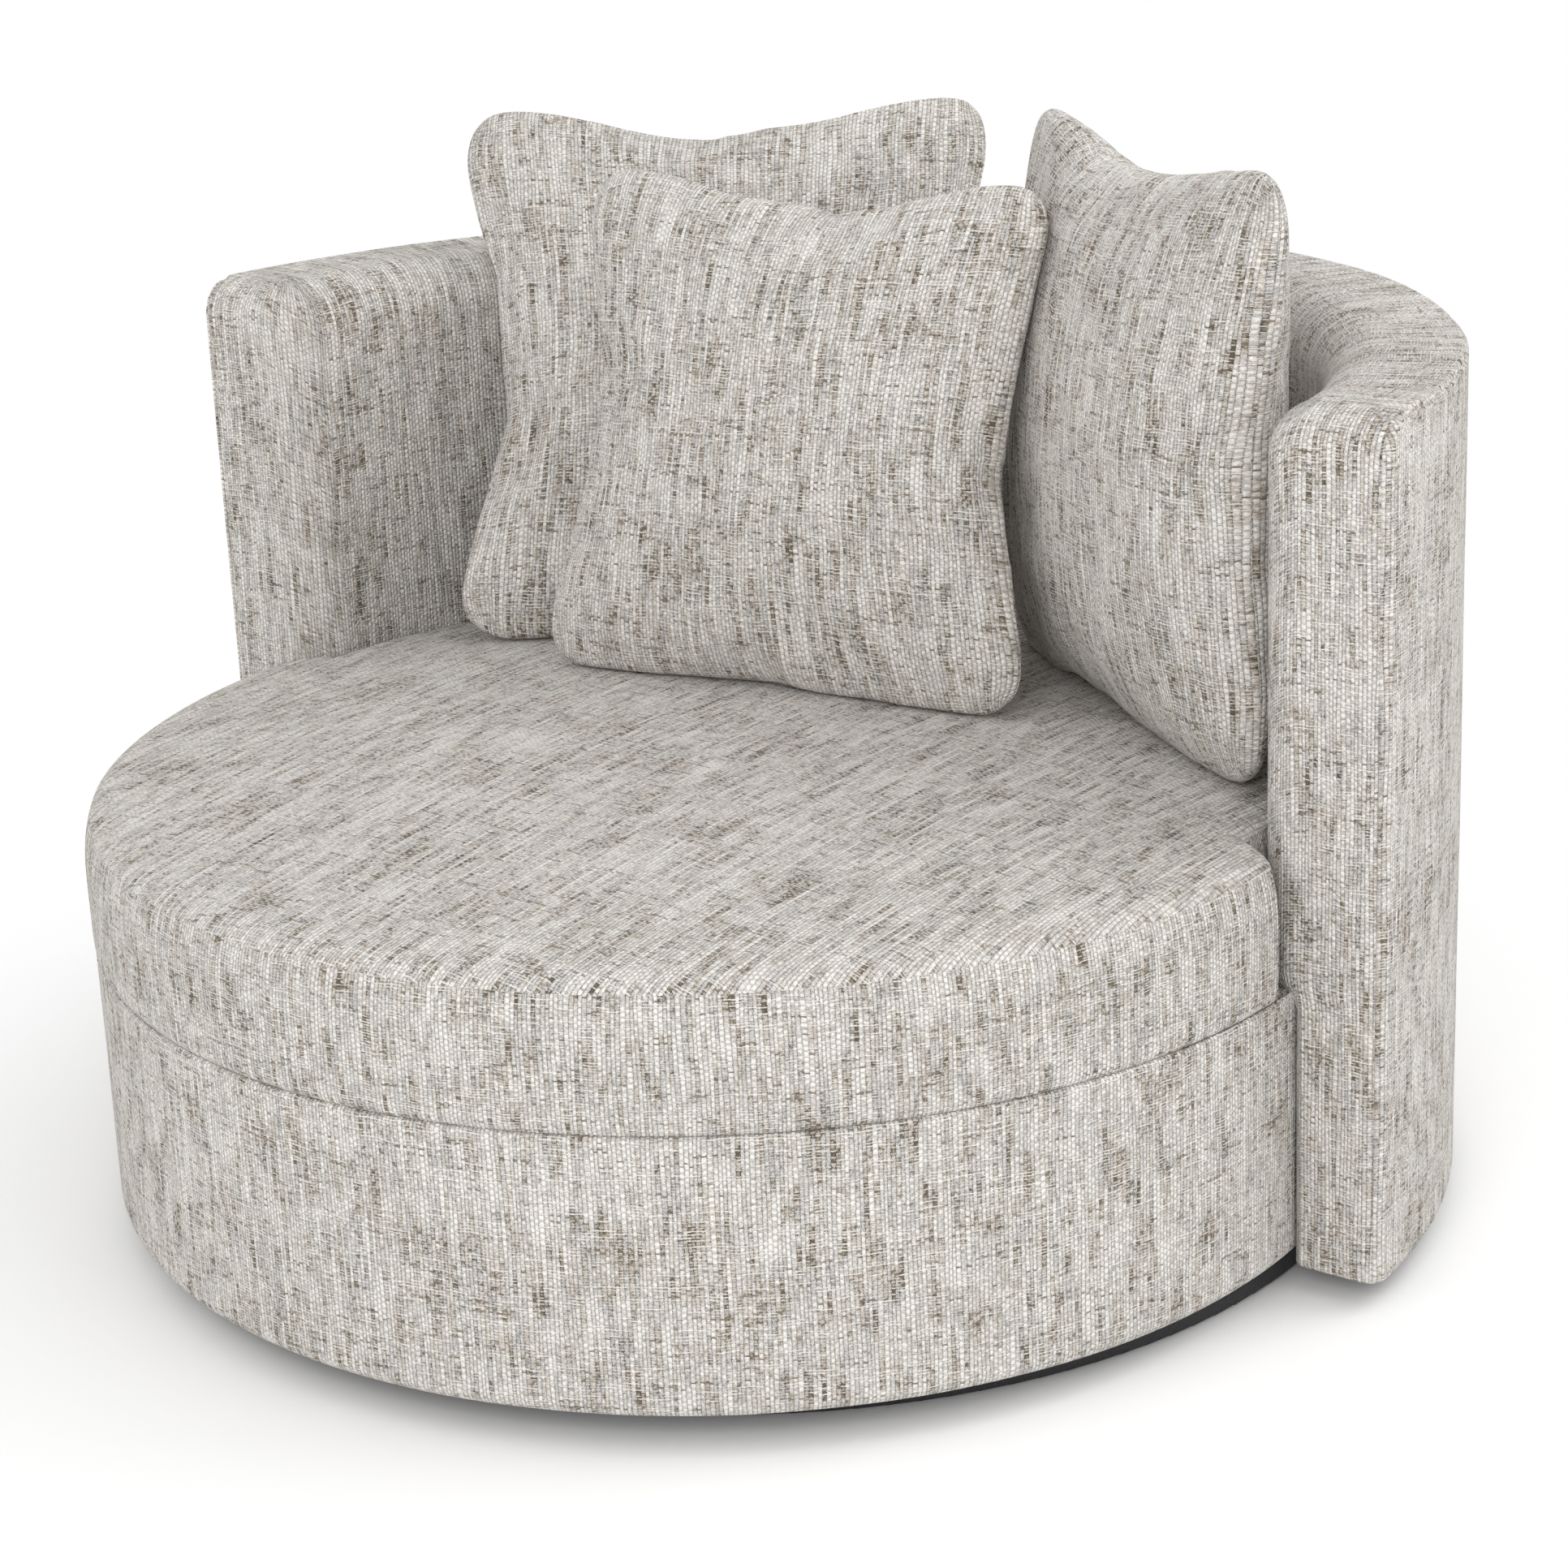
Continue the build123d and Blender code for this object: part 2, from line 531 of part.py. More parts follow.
def cushion_outline(half, share):
    """The outline at one station: drawn in at the seam, rounder towards the crown."""
    reach = half * share
    bulge = CUSHION_ROUNDNESS * reach * (1 - share) - CUSHION_DRAW_IN * share**2
    middle = reach + bulge
    corners = [(reach, -reach), (reach, reach), (-reach, reach), (-reach, -reach)]
    middles = [(middle, 0), (0, middle), (-middle, 0), (0, -middle)]
    return make_face([ThreePointArc(corners[i], middles[i], corners[(i + 1) % 4]) for i in range(4)])


def cushion_form(size, thickness):
    """A cushion lying flat, its seam on the ground plane."""
    stations = [(cushion_outline(size / 2, share), thickness / 2 * (1 - share**CUSHION_CROWN_POWER))
                for share in CUSHION_STATIONS]
    halves = [loft([Pos(0, 0, way * height) * outline for outline, height in stations])
              for way in (1, -1)]
    return halves[0] + halves[1]


def stood(shape, size, angle, standoff, yaw, lean):
    """A cushion stood on its lower edge on the seat, turned and leant back."""
    radius = back_inner - standoff
    foot = Pos(radius * cos(radians(angle)), radius * sin(radians(angle)),
               seat_level(radius) - CUSHION_SINK)
    return foot * Rot(0, 0, yaw) * Rot(-lean, 0, 0) * Rot(90, 0, 0) * Pos(0, size / 2, 0) * shape


def scatter_cushion(name, size, thickness, *place):
    outside = stood(cushion_form(size, thickness), size, *place) - seat_form(-SOFT_FIT)
    lining = stood(cushion_form(size - 2 * CUSHION_CLOTH, thickness - 2 * CUSHION_CLOTH), size, *place)
    filling = lining - seat_form(-SOFT_FIT - CUSHION_CLOTH)
    save(name + "_cover", DRUM * (outside - filling))
    save(name + "_filling", DRUM * filling)


scatter_cushion("front_cushion", FRONT_CUSHION_SIZE, FRONT_CUSHION_THICKNESS,
                FRONT_CUSHION_ANGLE, FRONT_CUSHION_STANDOFF, FRONT_CUSHION_YAW, FRONT_CUSHION_LEAN)
scatter_cushion("left_cushion", REAR_CUSHION_SIZE, REAR_CUSHION_THICKNESS,
                LEFT_CUSHION_ANGLE, LEFT_CUSHION_STANDOFF, LEFT_CUSHION_YAW, LEFT_CUSHION_LEAN)
scatter_cushion("right_cushion", REAR_CUSHION_SIZE, REAR_CUSHION_THICKNESS,
                RIGHT_CUSHION_ANGLE, RIGHT_CUSHION_STANDOFF, RIGHT_CUSHION_YAW, RIGHT_CUSHION_LEAN)
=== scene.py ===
# %% [markdown]
# # The looks of an upholstered swivel armchair
#
# The chair is a drum on a hidden turntable, with a round boxed seat cushion, a half-round padded back whose
# ends are the arms, and three loose scatter cushions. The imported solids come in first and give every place
# and size. The soft solids are then replaced by upholstery made here, and the hard ones keep their shape
# and get a finish.

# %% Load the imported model
import json
from math import asin, atan2, cos, pi, radians, sin, sqrt, tau

import bmesh
import bpy
import numpy as np
from mathutils import Matrix, Vector
from mathutils import noise as soft_noise


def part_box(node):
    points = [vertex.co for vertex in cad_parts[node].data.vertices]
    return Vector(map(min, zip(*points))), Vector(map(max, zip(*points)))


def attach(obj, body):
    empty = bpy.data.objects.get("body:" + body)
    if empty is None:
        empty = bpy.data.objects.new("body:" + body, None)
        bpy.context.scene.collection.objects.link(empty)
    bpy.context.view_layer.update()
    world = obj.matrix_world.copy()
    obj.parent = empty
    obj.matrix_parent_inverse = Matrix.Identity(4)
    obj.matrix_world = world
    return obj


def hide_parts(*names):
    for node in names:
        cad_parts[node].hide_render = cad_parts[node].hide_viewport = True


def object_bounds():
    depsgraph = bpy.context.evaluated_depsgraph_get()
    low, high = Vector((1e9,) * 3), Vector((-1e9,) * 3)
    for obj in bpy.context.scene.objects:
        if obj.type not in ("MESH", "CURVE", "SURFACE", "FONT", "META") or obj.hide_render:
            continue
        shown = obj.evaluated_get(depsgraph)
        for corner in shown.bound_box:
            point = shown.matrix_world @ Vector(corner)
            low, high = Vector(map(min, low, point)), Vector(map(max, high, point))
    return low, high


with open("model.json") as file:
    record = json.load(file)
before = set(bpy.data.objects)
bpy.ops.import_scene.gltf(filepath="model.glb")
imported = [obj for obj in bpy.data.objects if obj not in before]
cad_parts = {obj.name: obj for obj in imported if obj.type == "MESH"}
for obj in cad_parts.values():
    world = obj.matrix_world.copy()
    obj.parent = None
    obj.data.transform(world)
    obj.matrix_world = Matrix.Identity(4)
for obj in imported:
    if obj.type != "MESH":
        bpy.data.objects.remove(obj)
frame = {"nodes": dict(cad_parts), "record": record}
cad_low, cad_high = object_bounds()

# %% [markdown]
# ## The camera
#
# The place and the three turns of the camera were worked out from the drum's two ellipses and the arm ends,
# with the chair's sizes as the ruler. A long lens of about 83 mm keeps the verticals nearly parallel.

# %% Camera
CAMERA_PLACE = (1.969, -2.491, 1.431)
CAMERA_HEADING, CAMERA_PITCH, CAMERA_ROLL = radians(37.91), radians(18.74), radians(-2.48)
CAMERA_LENS = 82.91

camera = bpy.data.objects.new("camera", bpy.data.cameras.new("camera"))
camera.data.lens = CAMERA_LENS
bpy.context.collection.objects.link(camera)
camera.matrix_world = (Matrix.Translation(CAMERA_PLACE)
                       @ Matrix.Rotation(CAMERA_HEADING, 4, "Z")
                       @ Matrix.Rotation(pi / 2 - CAMERA_PITCH, 4, "X")
                       @ Matrix.Rotation(CAMERA_ROLL, 4, "Z"))
bpy.context.scene.camera = camera
bpy.context.scene.view_settings.view_transform = "Standard"
print("camera at", CAMERA_PLACE)

# %% [markdown]
# ## Wiring nodes
#
# Shaders here are built from many small sums. This helper adds one node at a time. An input may be a
# number, a colour or the output of another node, so that a formula reads nearly as it would on paper.


# %% A helper that adds nodes
class Wiring:
    """Adds nodes to one node tree and joins them."""

    def __init__(self, tree):
        self.tree = tree

    def node(self, kind, inputs=None, **settings):
        made = self.tree.nodes.new(kind)
        for name, value in settings.items():
            setattr(made, name, value)
        self.fill(made, inputs or {})
        return made

    def fill(self, made, inputs):
        for key, value in inputs.items():
            self.feed(made.inputs[key], value)

    def feed(self, socket, value):
        """Joins an input to another node's output, or sets its number or colour."""
        if isinstance(value, bpy.types.NodeSocket):
            self.tree.links.new(value, socket)
        else:
            socket.default_value = value

    def math(self, operation, *values, clamp=False):
        made = self.node("ShaderNodeMath", dict(enumerate(values)), operation=operation, use_clamp=clamp)
        return made.outputs[0]

    def times(self, first, second):
        return self.math("MULTIPLY", first, second)

    def total(self, *terms):
        whole = terms[0]
        for term in terms[1:]:
            whole = self.math("ADD", whole, term)
        return whole

    def vector(self, x, y, z=0.0):
        return self.node("ShaderNodeCombineXYZ", {"X": x, "Y": y, "Z": z}).outputs[0]

    def split(self, vector):
        return self.node("ShaderNodeSeparateXYZ", {0: vector}).outputs

    def noise(self, place, scale=1.0, detail=0.0, roughness=0.5):
        inputs = {"Vector": place, "Scale": scale, "Detail": detail, "Roughness": roughness}
        return self.node("ShaderNodeTexNoise", inputs, noise_dimensions="3D").outputs[0]

    def between(self, value, low, high, out_low=0.0, out_high=1.0, smooth=True):
        inputs = {"Value": value, "From Min": low, "From Max": high, "To Min": out_low, "To Max": out_high}
        kind = "SMOOTHSTEP" if smooth else "LINEAR"
        return self.node("ShaderNodeMapRange", inputs, interpolation_type=kind, clamp=True).outputs[0]

    def mix(self, share, first, second):
        made = self.node("ShaderNodeMix", data_type="RGBA")
        for socket, value in zip((made.inputs[0], made.inputs[6], made.inputs[7]), (share, first, second)):
            self.feed(socket, value)
        return made.outputs[2]

    def shade(self, colour, value):
        made = self.node("ShaderNodeVectorMath", {0: colour}, operation="SCALE")
        self.feed(made.inputs["Scale"], value)
        return made.outputs[0]


def linear(level):
    """One channel of a colour as a screen shows it, from 0 to 255, as the linear value that shaders use."""
    return level / 255 / 12.92 if level <= 10 else ((level / 255 + 0.055) / 1.055) ** 2.4


def srgb(red, green, blue):
    """A colour as a screen shows it, as the linear colour that shaders use."""
    return linear(red), linear(green), linear(blue), 1.0


def new_group(name, inputs, outputs, tree_kind="ShaderNodeTree"):
    """An empty node group with the named sockets; gives its wiring, its inputs and its outputs."""
    tree = bpy.data.node_groups.new(name, tree_kind)
    for label, kind, default in inputs:
        socket = tree.interface.new_socket(label, in_out="INPUT", socket_type="NodeSocket" + kind)
        if default is not None:
            socket.default_value = default
    for label, kind in outputs:
        tree.interface.new_socket(label, in_out="OUTPUT", socket_type="NodeSocket" + kind)
    wiring = Wiring(tree)
    return wiring, wiring.node("NodeGroupInput").outputs, wiring.node("NodeGroupOutput").inputs


def new_material(name):
    """A material with an empty Principled shader; gives the material, its wiring and the shader."""
    material = bpy.data.materials.new(name)
    material.use_nodes = True
    return material, Wiring(material.node_tree), material.node_tree.nodes["Principled BSDF"]


print("wiring helper ready")

# %% [markdown]
# ## Floor and light
#
# A pale seamless floor takes the chair's soft shadow. Near the chair it is lit like everything else;
# farther out the camera sees it as plain white, so that it melts into the background. One large soft lamp
# stands in front, weaker ones fill from the sides and from behind on the right, and an even pale sky opens
# the shadows.

# %% Floor, world and lamps
FLOOR_REACH = 40.0
FLOOR_NEAR, FLOOR_FAR = 0.60, 1.15  # where the lit floor starts to turn white, and where it has
SKY_LEVEL = 0.84  # the sky's light on the chair; the camera sees it as white


def seen_directly(wiring):
    """One for what the camera, a mirror or glass sees, nought for the light that the surface gives."""
    path = wiring.node("ShaderNodeLightPath").outputs
    seen = wiring.math("MAXIMUM", path["Is Camera Ray"], path["Is Glossy Ray"])
    return wiring.math("MAXIMUM", seen, path["Is Transmission Ray"])


floor_mesh = bpy.data.meshes.new("floor")
signs = ((-1, -1), (1, -1), (1, 1), (-1, 1))
corners = [(FLOOR_REACH * x, FLOOR_REACH * y, cad_low[2]) for x, y in signs]
floor_mesh.from_pydata(corners, [], [(0, 1, 2, 3)])
floor = bpy.data.objects.new("floor", floor_mesh)
bpy.context.collection.objects.link(floor)

floor_finish, wiring, shader = new_material("pale_floor")
wiring.fill(shader, {"Base Color": srgb(250, 250, 250), "Roughness": 1.0, "Specular IOR Level": 0.0})
place = wiring.split(wiring.node("ShaderNodeNewGeometry").outputs["Position"])
on_floor = wiring.vector(place[0], place[1])
away = wiring.node("ShaderNodeVectorMath", {0: on_floor}, operation="LENGTH").outputs["Value"]
white = wiring.times(wiring.between(away, FLOOR_NEAR, FLOOR_FAR), seen_directly(wiring))
glow = wiring.node("ShaderNodeEmission").outputs[0]
both = wiring.node("ShaderNodeMixShader", {0: white, 1: shader.outputs[0], 2: glow}).outputs[0]
wiring.feed(floor_finish.node_tree.nodes["Material Output"].inputs["Surface"], both)
floor_mesh.materials.append(floor_finish)

world = bpy.data.worlds.new("studio")
world.use_nodes = True
bpy.context.scene.world = world
wiring = Wiring(world.node_tree)
sky = world.node_tree.nodes["Background"]
sky_strength = wiring.between(seen_directly(wiring), 0.0, 1.0, SKY_LEVEL, 1.0, smooth=False)
wiring.fill(sky, {"Color": (1.0, 1.0, 1.0, 1.0), "Strength": sky_strength})


def soft_lamp(name, place, aim, size, power):
    """A square lamp that points at the aim."""
    light = bpy.data.lights.new(name, "AREA")
    light.size, light.energy = size, power
    lamp = bpy.data.objects.new(name, light)
    lamp.location = place
    lamp.rotation_euler = (Vector(aim) - Vector(place)).to_track_quat("-Z", "Y").to_euler()
    bpy.context.collection.objects.link(lamp)


soft_lamp("key_lamp", (1.9, -3.4, 2.1), (0, 0, 0.4), 2.2, 54)
soft_lamp("right_lamp", (3.3, -0.3, 2.8), (-0.4, 0.1, 0.5), 2.2, 8)
soft_lamp("rear_lamp", (2.2, 1.7, 3.2), (-0.4, -0.1, 0.5), 2.2, 40)
soft_lamp("left_lamp", (-3.2, -2.0, 2.6), (0, 0, 0.4), 2.5, 12)
print("floor, sky and four lamps")

# %% [markdown]
# ## The cloth: a nubby plain weave
#
# The cover is a heavy fabric of thick, fuzzy yarns. Warp yarns about 4 mm wide stand up as beads wherever
# they pass over a weft yarn, and neighbours alternate like bricks. The yarns are mostly off-white, but each
# one changes colour along its length: short stretches turn greige, cool grey or dark taupe, and the dark
# flecks gather in streaks and in loose blotches. Thin pale weft dashes show between the beads, and now and
# then a dark weft row crosses.
#
# Every piece carries a map named weave, in metres on the flat cloth, so one node group serves all of them:
# it counts yarns across and beads along the map. Colours and height vary over the surface and leave the
# group; what is the same everywhere, such as roughness and sheen, is set on the shader itself.

# %% The weave group
WARP_PITCH, WEFT_PITCH = 0.0037, 0.0027  # from yarn to yarn, across and along
WEFT_SHARE = 0.22  # part of each repeat where the weft shows
YARN_STRAY, YARN_DRIFT = 0.0015, 0.0044  # how far yarns lie off sideways, at random and in long waves
BEAD_STRAY, BEAD_DRIFT = -0.0020, 0.0040  # the same along the yarn
YARN_COLOURS = {"Pale": srgb(241, 237, 231), "Light": srgb(216, 210, 203), "Greige": srgb(191, 182, 170),
                "Cool Grey": srgb(186, 186, 186), "Taupe": srgb(146, 135, 117), "Dark": srgb(99, 90, 74)}

weave_inputs = [("Place", "Vector", None), ("Warp Pitch", "Float", WARP_PITCH),
                ("Weft Pitch", "Float", WEFT_PITCH)]
weave_inputs += [(label, "Color", tint) for label, tint in YARN_COLOURS.items()]
weave, given, leaves = new_group("nubby_weave", weave_inputs, [("Color", "Color"), ("Height", "Float")])
across_raw, along_raw, _ = weave.split(given["Place"])


def cloudy(x, x_scale, y, y_scale, layer, detail=0.0):
    """Noise whose bumps have their own size along each way of the cloth; each layer is another cloud."""
    place = weave.vector(weave.times(x, x_scale), weave.times(y, y_scale), layer)
    return weave.noise(place, detail=detail, roughness=0.6)


def dome(value, middle, reach):
    """One at the middle, falling to nought like a half circle at the reach on either side."""
    off = weave.math("DIVIDE", weave.math("SUBTRACT", value, middle), reach)
    rest = weave.math("SUBTRACT", 1.0, weave.times(off, off), clamp=True)
    return weave.math("SQRT", rest)


jitter = cloudy(across_raw, 240.0, along_raw, 240.0, 5.0, detail=3.0)
uneven_pitch = cloudy(across_raw, 85.0, along_raw, 8.0, 1.0)
uneven_rows = cloudy(across_raw, 45.0, along_raw, 10.0, 7.0)
across = weave.total(across_raw, weave.times(jitter, YARN_STRAY), weave.times(uneven_pitch, YARN_DRIFT))
along = weave.total(along_raw, weave.times(jitter, BEAD_STRAY), weave.times(uneven_rows, BEAD_DRIFT))

yarns = weave.math("DIVIDE", across, given["Warp Pitch"])
yarn = weave.math("FLOOR", yarns)
rows = weave.math("DIVIDE", along, given["Weft Pitch"])
row = weave.math("FLOOR", rows)
repeats = weave.times(weave.math("ADD", rows, weave.math("FLOORED_MODULO", yarn, 2.0)), 0.5)
in_bead = weave.math("FRACT", repeats)
bead_place = weave.vector(yarn, weave.math("FLOOR", repeats))
bead_noise = weave.node("ShaderNodeTexWhiteNoise", {"Vector": bead_place}, noise_dimensions="2D")
bead_luck = bead_noise.outputs["Value"]
slub = weave.between(cloudy(yarn, 5.3, along, 14.0, 23.0), 0.67, 0.75)

bead_round = dome(in_bead, (1 + WEFT_SHARE) / 2, (1 - WEFT_SHARE) / 2 + 0.02)
yarn_round = dome(weave.math("FRACT", yarns), 0.5, weave.math("MULTIPLY_ADD", slub, 0.08, 0.5))
warp_height = weave.times(yarn_round, weave.math("MULTIPLY_ADD", bead_round, 0.55, 0.45))
weft_height = weave.times(dome(in_bead, WEFT_SHARE / 2, WEFT_SHARE / 2), 0.66)
on_weft = weave.math("LESS_THAN", in_bead, WEFT_SHARE)
either = weave.node("ShaderNodeMix", {0: on_weft, 2: warp_height, 3: weft_height}, data_type="FLOAT")
woven_height = either.outputs[0]
loose = weave.between(cloudy(across, 42.0, row, 3.7, 31.0), 0.56, 0.62)
thin_dash = weave.between(dome(weave.math("FRACT", rows), 0.3, 0.22), 0.2, 0.9, 0.0, 0.7)
loose_weft = weave.times(loose, thin_dash)
height = weave.math("MAXIMUM", woven_height, loose_weft)

weft_streak = cloudy(across, 34.0, row, 3.1, 17.0, detail=1.0)
fibre = weave.noise(given["Place"], 1100.0, 2.0, 0.7)
yarn_streak = cloudy(yarn, 3.1, along, 26.0, 0.0, detail=1.0)
shared_streak = cloudy(yarn, 0.55, along, 13.0, 41.0, detail=1.0)
blotch = cloudy(across, 15.0, along, 10.0, 3.0, detail=2.0)
mottle = weave.noise(given["Place"], 330.0, 1.0)
parts = ((bead_luck, 0.12), (yarn_streak, 0.58), (weft_streak, 0.20), (shared_streak, 0.58), (blotch, 0.34),
         (mottle, 0.62), (fibre, 0.34), (slub, 0.08))
tone = weave.total(*(weave.times(part, weight) for part, weight in parts))
coolness = weave.between(cloudy(yarn, 1.7, along, 22.0, 11.0), 0.44, 0.60)
middling = weave.mix(coolness, given["Greige"], given["Cool Grey"])
warp_colour = given["Dark"]
for tint, low, high in ((given["Taupe"], 1.13, 1.21), (middling, 1.22, 1.30), (given["Light"], 1.32, 1.41),
                        (given["Pale"], 1.42, 1.55)):
    warp_colour = weave.mix(weave.between(tone, low, high), warp_colour, tint)
weft_colour = weave.mix(weave.between(weft_streak, 0.31, 0.42), given["Taupe"], given["Pale"])
colour = weave.mix(weave.math("MAXIMUM", on_weft, loose_weft), warp_colour, weft_colour)

fibre_shade = weave.between(fibre, 0.25, 0.75, 0.80, 1.12, smooth=False)
# painted shade: the colour is darkened where the woven height is low, in the gaps between yarns and beads
gap_shade = weave.between(height, 0.0, 0.75, 0.42, 1.0, smooth=False)
weave.feed(leaves["Color"], weave.shade(colour, weave.times(fibre_shade, gap_shade)))
fuzzy_height = weave.total(height, weave.times(fibre, 0.35), weave.times(slub, 0.3))
weave.feed(leaves["Height"], fuzzy_height)
print("weave group:", len(weave.tree.nodes), "nodes")

# %% [markdown]
# The cover material is the group on a very rough shader. A little sheen stands for the fuzz of loose
# fibres, which brightens the cloth where it turns away from the eye.

# %% Cover material
CLOTH_ROUGHNESS, CLOTH_GLOSS = 0.95, 0.15
CLOTH_SHEEN, SHEEN_ROUGHNESS = 0.12, 0.6
CLOTH_RELIEF = 0.0018  # height of the beads, in metres

cover, wiring, shader = new_material("cover_fabric")
flat_cloth = wiring.node("ShaderNodeUVMap", uv_map="weave").outputs[0]
woven = wiring.node("ShaderNodeGroup", node_tree=weave.tree)
wiring.feed(woven.inputs["Place"], flat_cloth)
relief = {"Distance": CLOTH_RELIEF, "Strength": 1.0, "Height": woven.outputs["Height"]}
wiring.fill(shader, {
    "Base Color": woven.outputs["Color"],
    "Normal": wiring.node("ShaderNodeBump", relief).outputs[0],
    "Roughness": CLOTH_ROUGHNESS,
    "Specular IOR Level": CLOTH_GLOSS,
    "Sheen Weight": CLOTH_SHEEN,
    "Sheen Roughness": SHEEN_ROUGHNESS,
})
print("cover material ready")

# %% [markdown]
# ## Sheets of cloth
#
# Each panel is cut flat and then bent, so each is a grid of points with a flat map beside it. The panels of
# one piece are sewn by merging the points along their shared seams. A thin Solidify gives panels that stay
# open their cloth thickness, so that every piece is a closed form.

# %% Panels and pieces
CLOTH_THICKNESS = 0.0025


def panel(points, flat, wrap=False):
    """A grid of points, columns by rows, as a mesh of quads that carries its flat map in metres."""
    count, rows = points.shape[:2]
    i, j = np.meshgrid(np.arange(count if wrap else count - 1), np.arange(rows - 1), indexing="ij")
    after = (i + 1) % count
    quads = np.stack([i * rows + j, after * rows + j, after * rows + j + 1, i * rows + j + 1], axis=-1)
    mesh = bpy.data.meshes.new("panel")
    mesh.from_pydata(points.reshape(-1, 3).tolist(), [], quads.reshape(-1, 4).tolist())
    corners = np.stack([flat[i, j], flat[i + 1, j], flat[i + 1, j + 1], flat[i, j + 1]], axis=-2)
    mesh.uv_layers.new(name="weave").data.foreach_set("uv", corners.astype(np.float32).ravel())
    return mesh


def sewn(name, panels):
    """The panels as one object, joined where their edges meet."""
    whole = bmesh.new()
    for mesh in panels:
        whole.from_mesh(mesh)
        bpy.data.meshes.remove(mesh)
    bmesh.ops.remove_doubles(whole, verts=whole.verts, dist=1e-5)
    mesh = bpy.data.meshes.new(name)
    whole.to_mesh(mesh)
    whole.free()
    mesh.shade_smooth()
    mesh.materials.append(cover)
    made = bpy.data.objects.new(name, mesh)
    bpy.context.collection.objects.link(made)
    return made


def upholster(made, body, stands_for):
    """Puts a padded piece on its body in place of the plain solids."""
    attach(made, body)
    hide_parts(*stands_for)
    print(made.name, "faces:", len(made.data.polygons))


def give_thickness(made):
    """Gives an open panel the thickness of its cloth, towards the inside."""
    thick = made.modifiers.new("cloth thickness", "SOLIDIFY")
    thick.thickness, thick.offset = CLOTH_THICKNESS, -1.0


def uneven(points, size):
    """A smooth random number from about -1 to 1 for each point, with bumps of the given size."""
    flat = points.reshape(-1, 3) / size
    return np.array([soft_noise.noise(p) for p in flat.tolist()]).reshape(points.shape[:-1])


def run_length(points):
    """How far along a row of points each point lies."""
    steps = np.linalg.norm(np.diff(points, axis=0), axis=1)
    return np.concatenate([[0.0], np.cumsum(steps)])


print("panel helpers ready")

# %% [markdown]
# ## The drum
#
# The base is a bent plywood wall with a thin layer of padding under one tight strip of cloth. The strip is
# turned under at the bottom, where the edge is softly rounded, and over the top onto the deck that the seat
# lies on. The hand-stretched cloth is never quite true, so the wall wavers by about a millimetre.

# %% Drum cover
low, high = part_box("drum_cover")
DRUM_CENTRE = (low.y + high.y) / 2
DRUM_RADIUS = (high.x - low.x) / 2
DRUM_LOW, DRUM_HIGH = low.z, high.z
DRUM_HEEL, DRUM_BROW = 0.016, 0.004  # roundings of the lower and of the upper edge
DRUM_HEM = 0.036  # cloth turned under at the bottom
DRUM_WAVER, DRUM_WAVE = 0.0009, 0.11  # how far the wall lies off, and the size of its waves
ROUND_STEPS = 480


def ring(angles, radii, heights):
    """Points round the drum's middle: one column for each angle, from the back towards the chair's right."""
    radii, heights = np.broadcast_arrays(radii, heights)
    x = -np.sin(angles)[:, None] * radii
    y = DRUM_CENTRE + np.cos(angles)[:, None] * radii
    return np.stack([x, y, np.broadcast_to(heights, x.shape)], axis=-1)


def quarter(radius, start, end, steps):
    """A rounding between two angles in degrees: how far out and how far up its points lie."""
    turn = np.linspace(radians(start), radians(end), steps)
    return radius * np.cos(turn), radius * np.sin(turn)


def drum_profile():
    """Radius and height from the hem's inner edge, up the wall, to the middle of the deck."""
    heel_r, heel_z = quarter(DRUM_HEEL, -90, 0, 9)
    brow_r, brow_z = quarter(DRUM_BROW, 0, 90, 8)
    wall = np.linspace(DRUM_LOW + DRUM_HEEL, DRUM_HIGH - DRUM_BROW, 30)[1:-1]
    deck = np.linspace(DRUM_RADIUS - DRUM_BROW, 0.0, 14)[1:]
    radius = np.concatenate([[DRUM_RADIUS - DRUM_HEM], DRUM_RADIUS - DRUM_HEEL + heel_r,
                             np.full(wall.shape, DRUM_RADIUS), DRUM_RADIUS - DRUM_BROW + brow_r, deck])
    height = np.concatenate([[DRUM_LOW], DRUM_LOW + DRUM_HEEL + heel_z, wall,
                             DRUM_HIGH - DRUM_BROW + brow_z, np.full(deck.shape, DRUM_HIGH)])
    return radius, height


angles = np.linspace(0, tau, ROUND_STEPS, endpoint=False)
radius, height = drum_profile()
points = ring(angles, radius, height)
on_wall = np.abs(height - (DRUM_LOW + DRUM_HIGH) / 2) < (DRUM_HIGH - DRUM_LOW) / 2 - 1e-6
waver = -DRUM_WAVER * (1 + uneven(points, DRUM_WAVE)) * on_wall
points = ring(angles, radius + waver, height)
along_profile = run_length(np.stack([radius, height], axis=-1))
round_angles = np.append(angles, tau)
flat = np.stack(np.broadcast_arrays(round_angles[:, None] * DRUM_RADIUS, along_profile), axis=-1)
drum = sewn("drum_upholstery", [panel(points, flat, wrap=True)])
give_thickness(drum)
upholster(drum, "seat", ("drum_cover", "drum_padding", "deck_cover", "deck_pad"))

# %% [markdown]
# ## The seat cushion
#
# A boxed cushion: a crowned top panel, a strip called the boxing round the side, and a bottom panel. The
# foam pushes the boxing out between its two plain seams, and the top panel rolls over to meet it. Behind
# the arm ends the cushion is narrower, because the arms close round it.

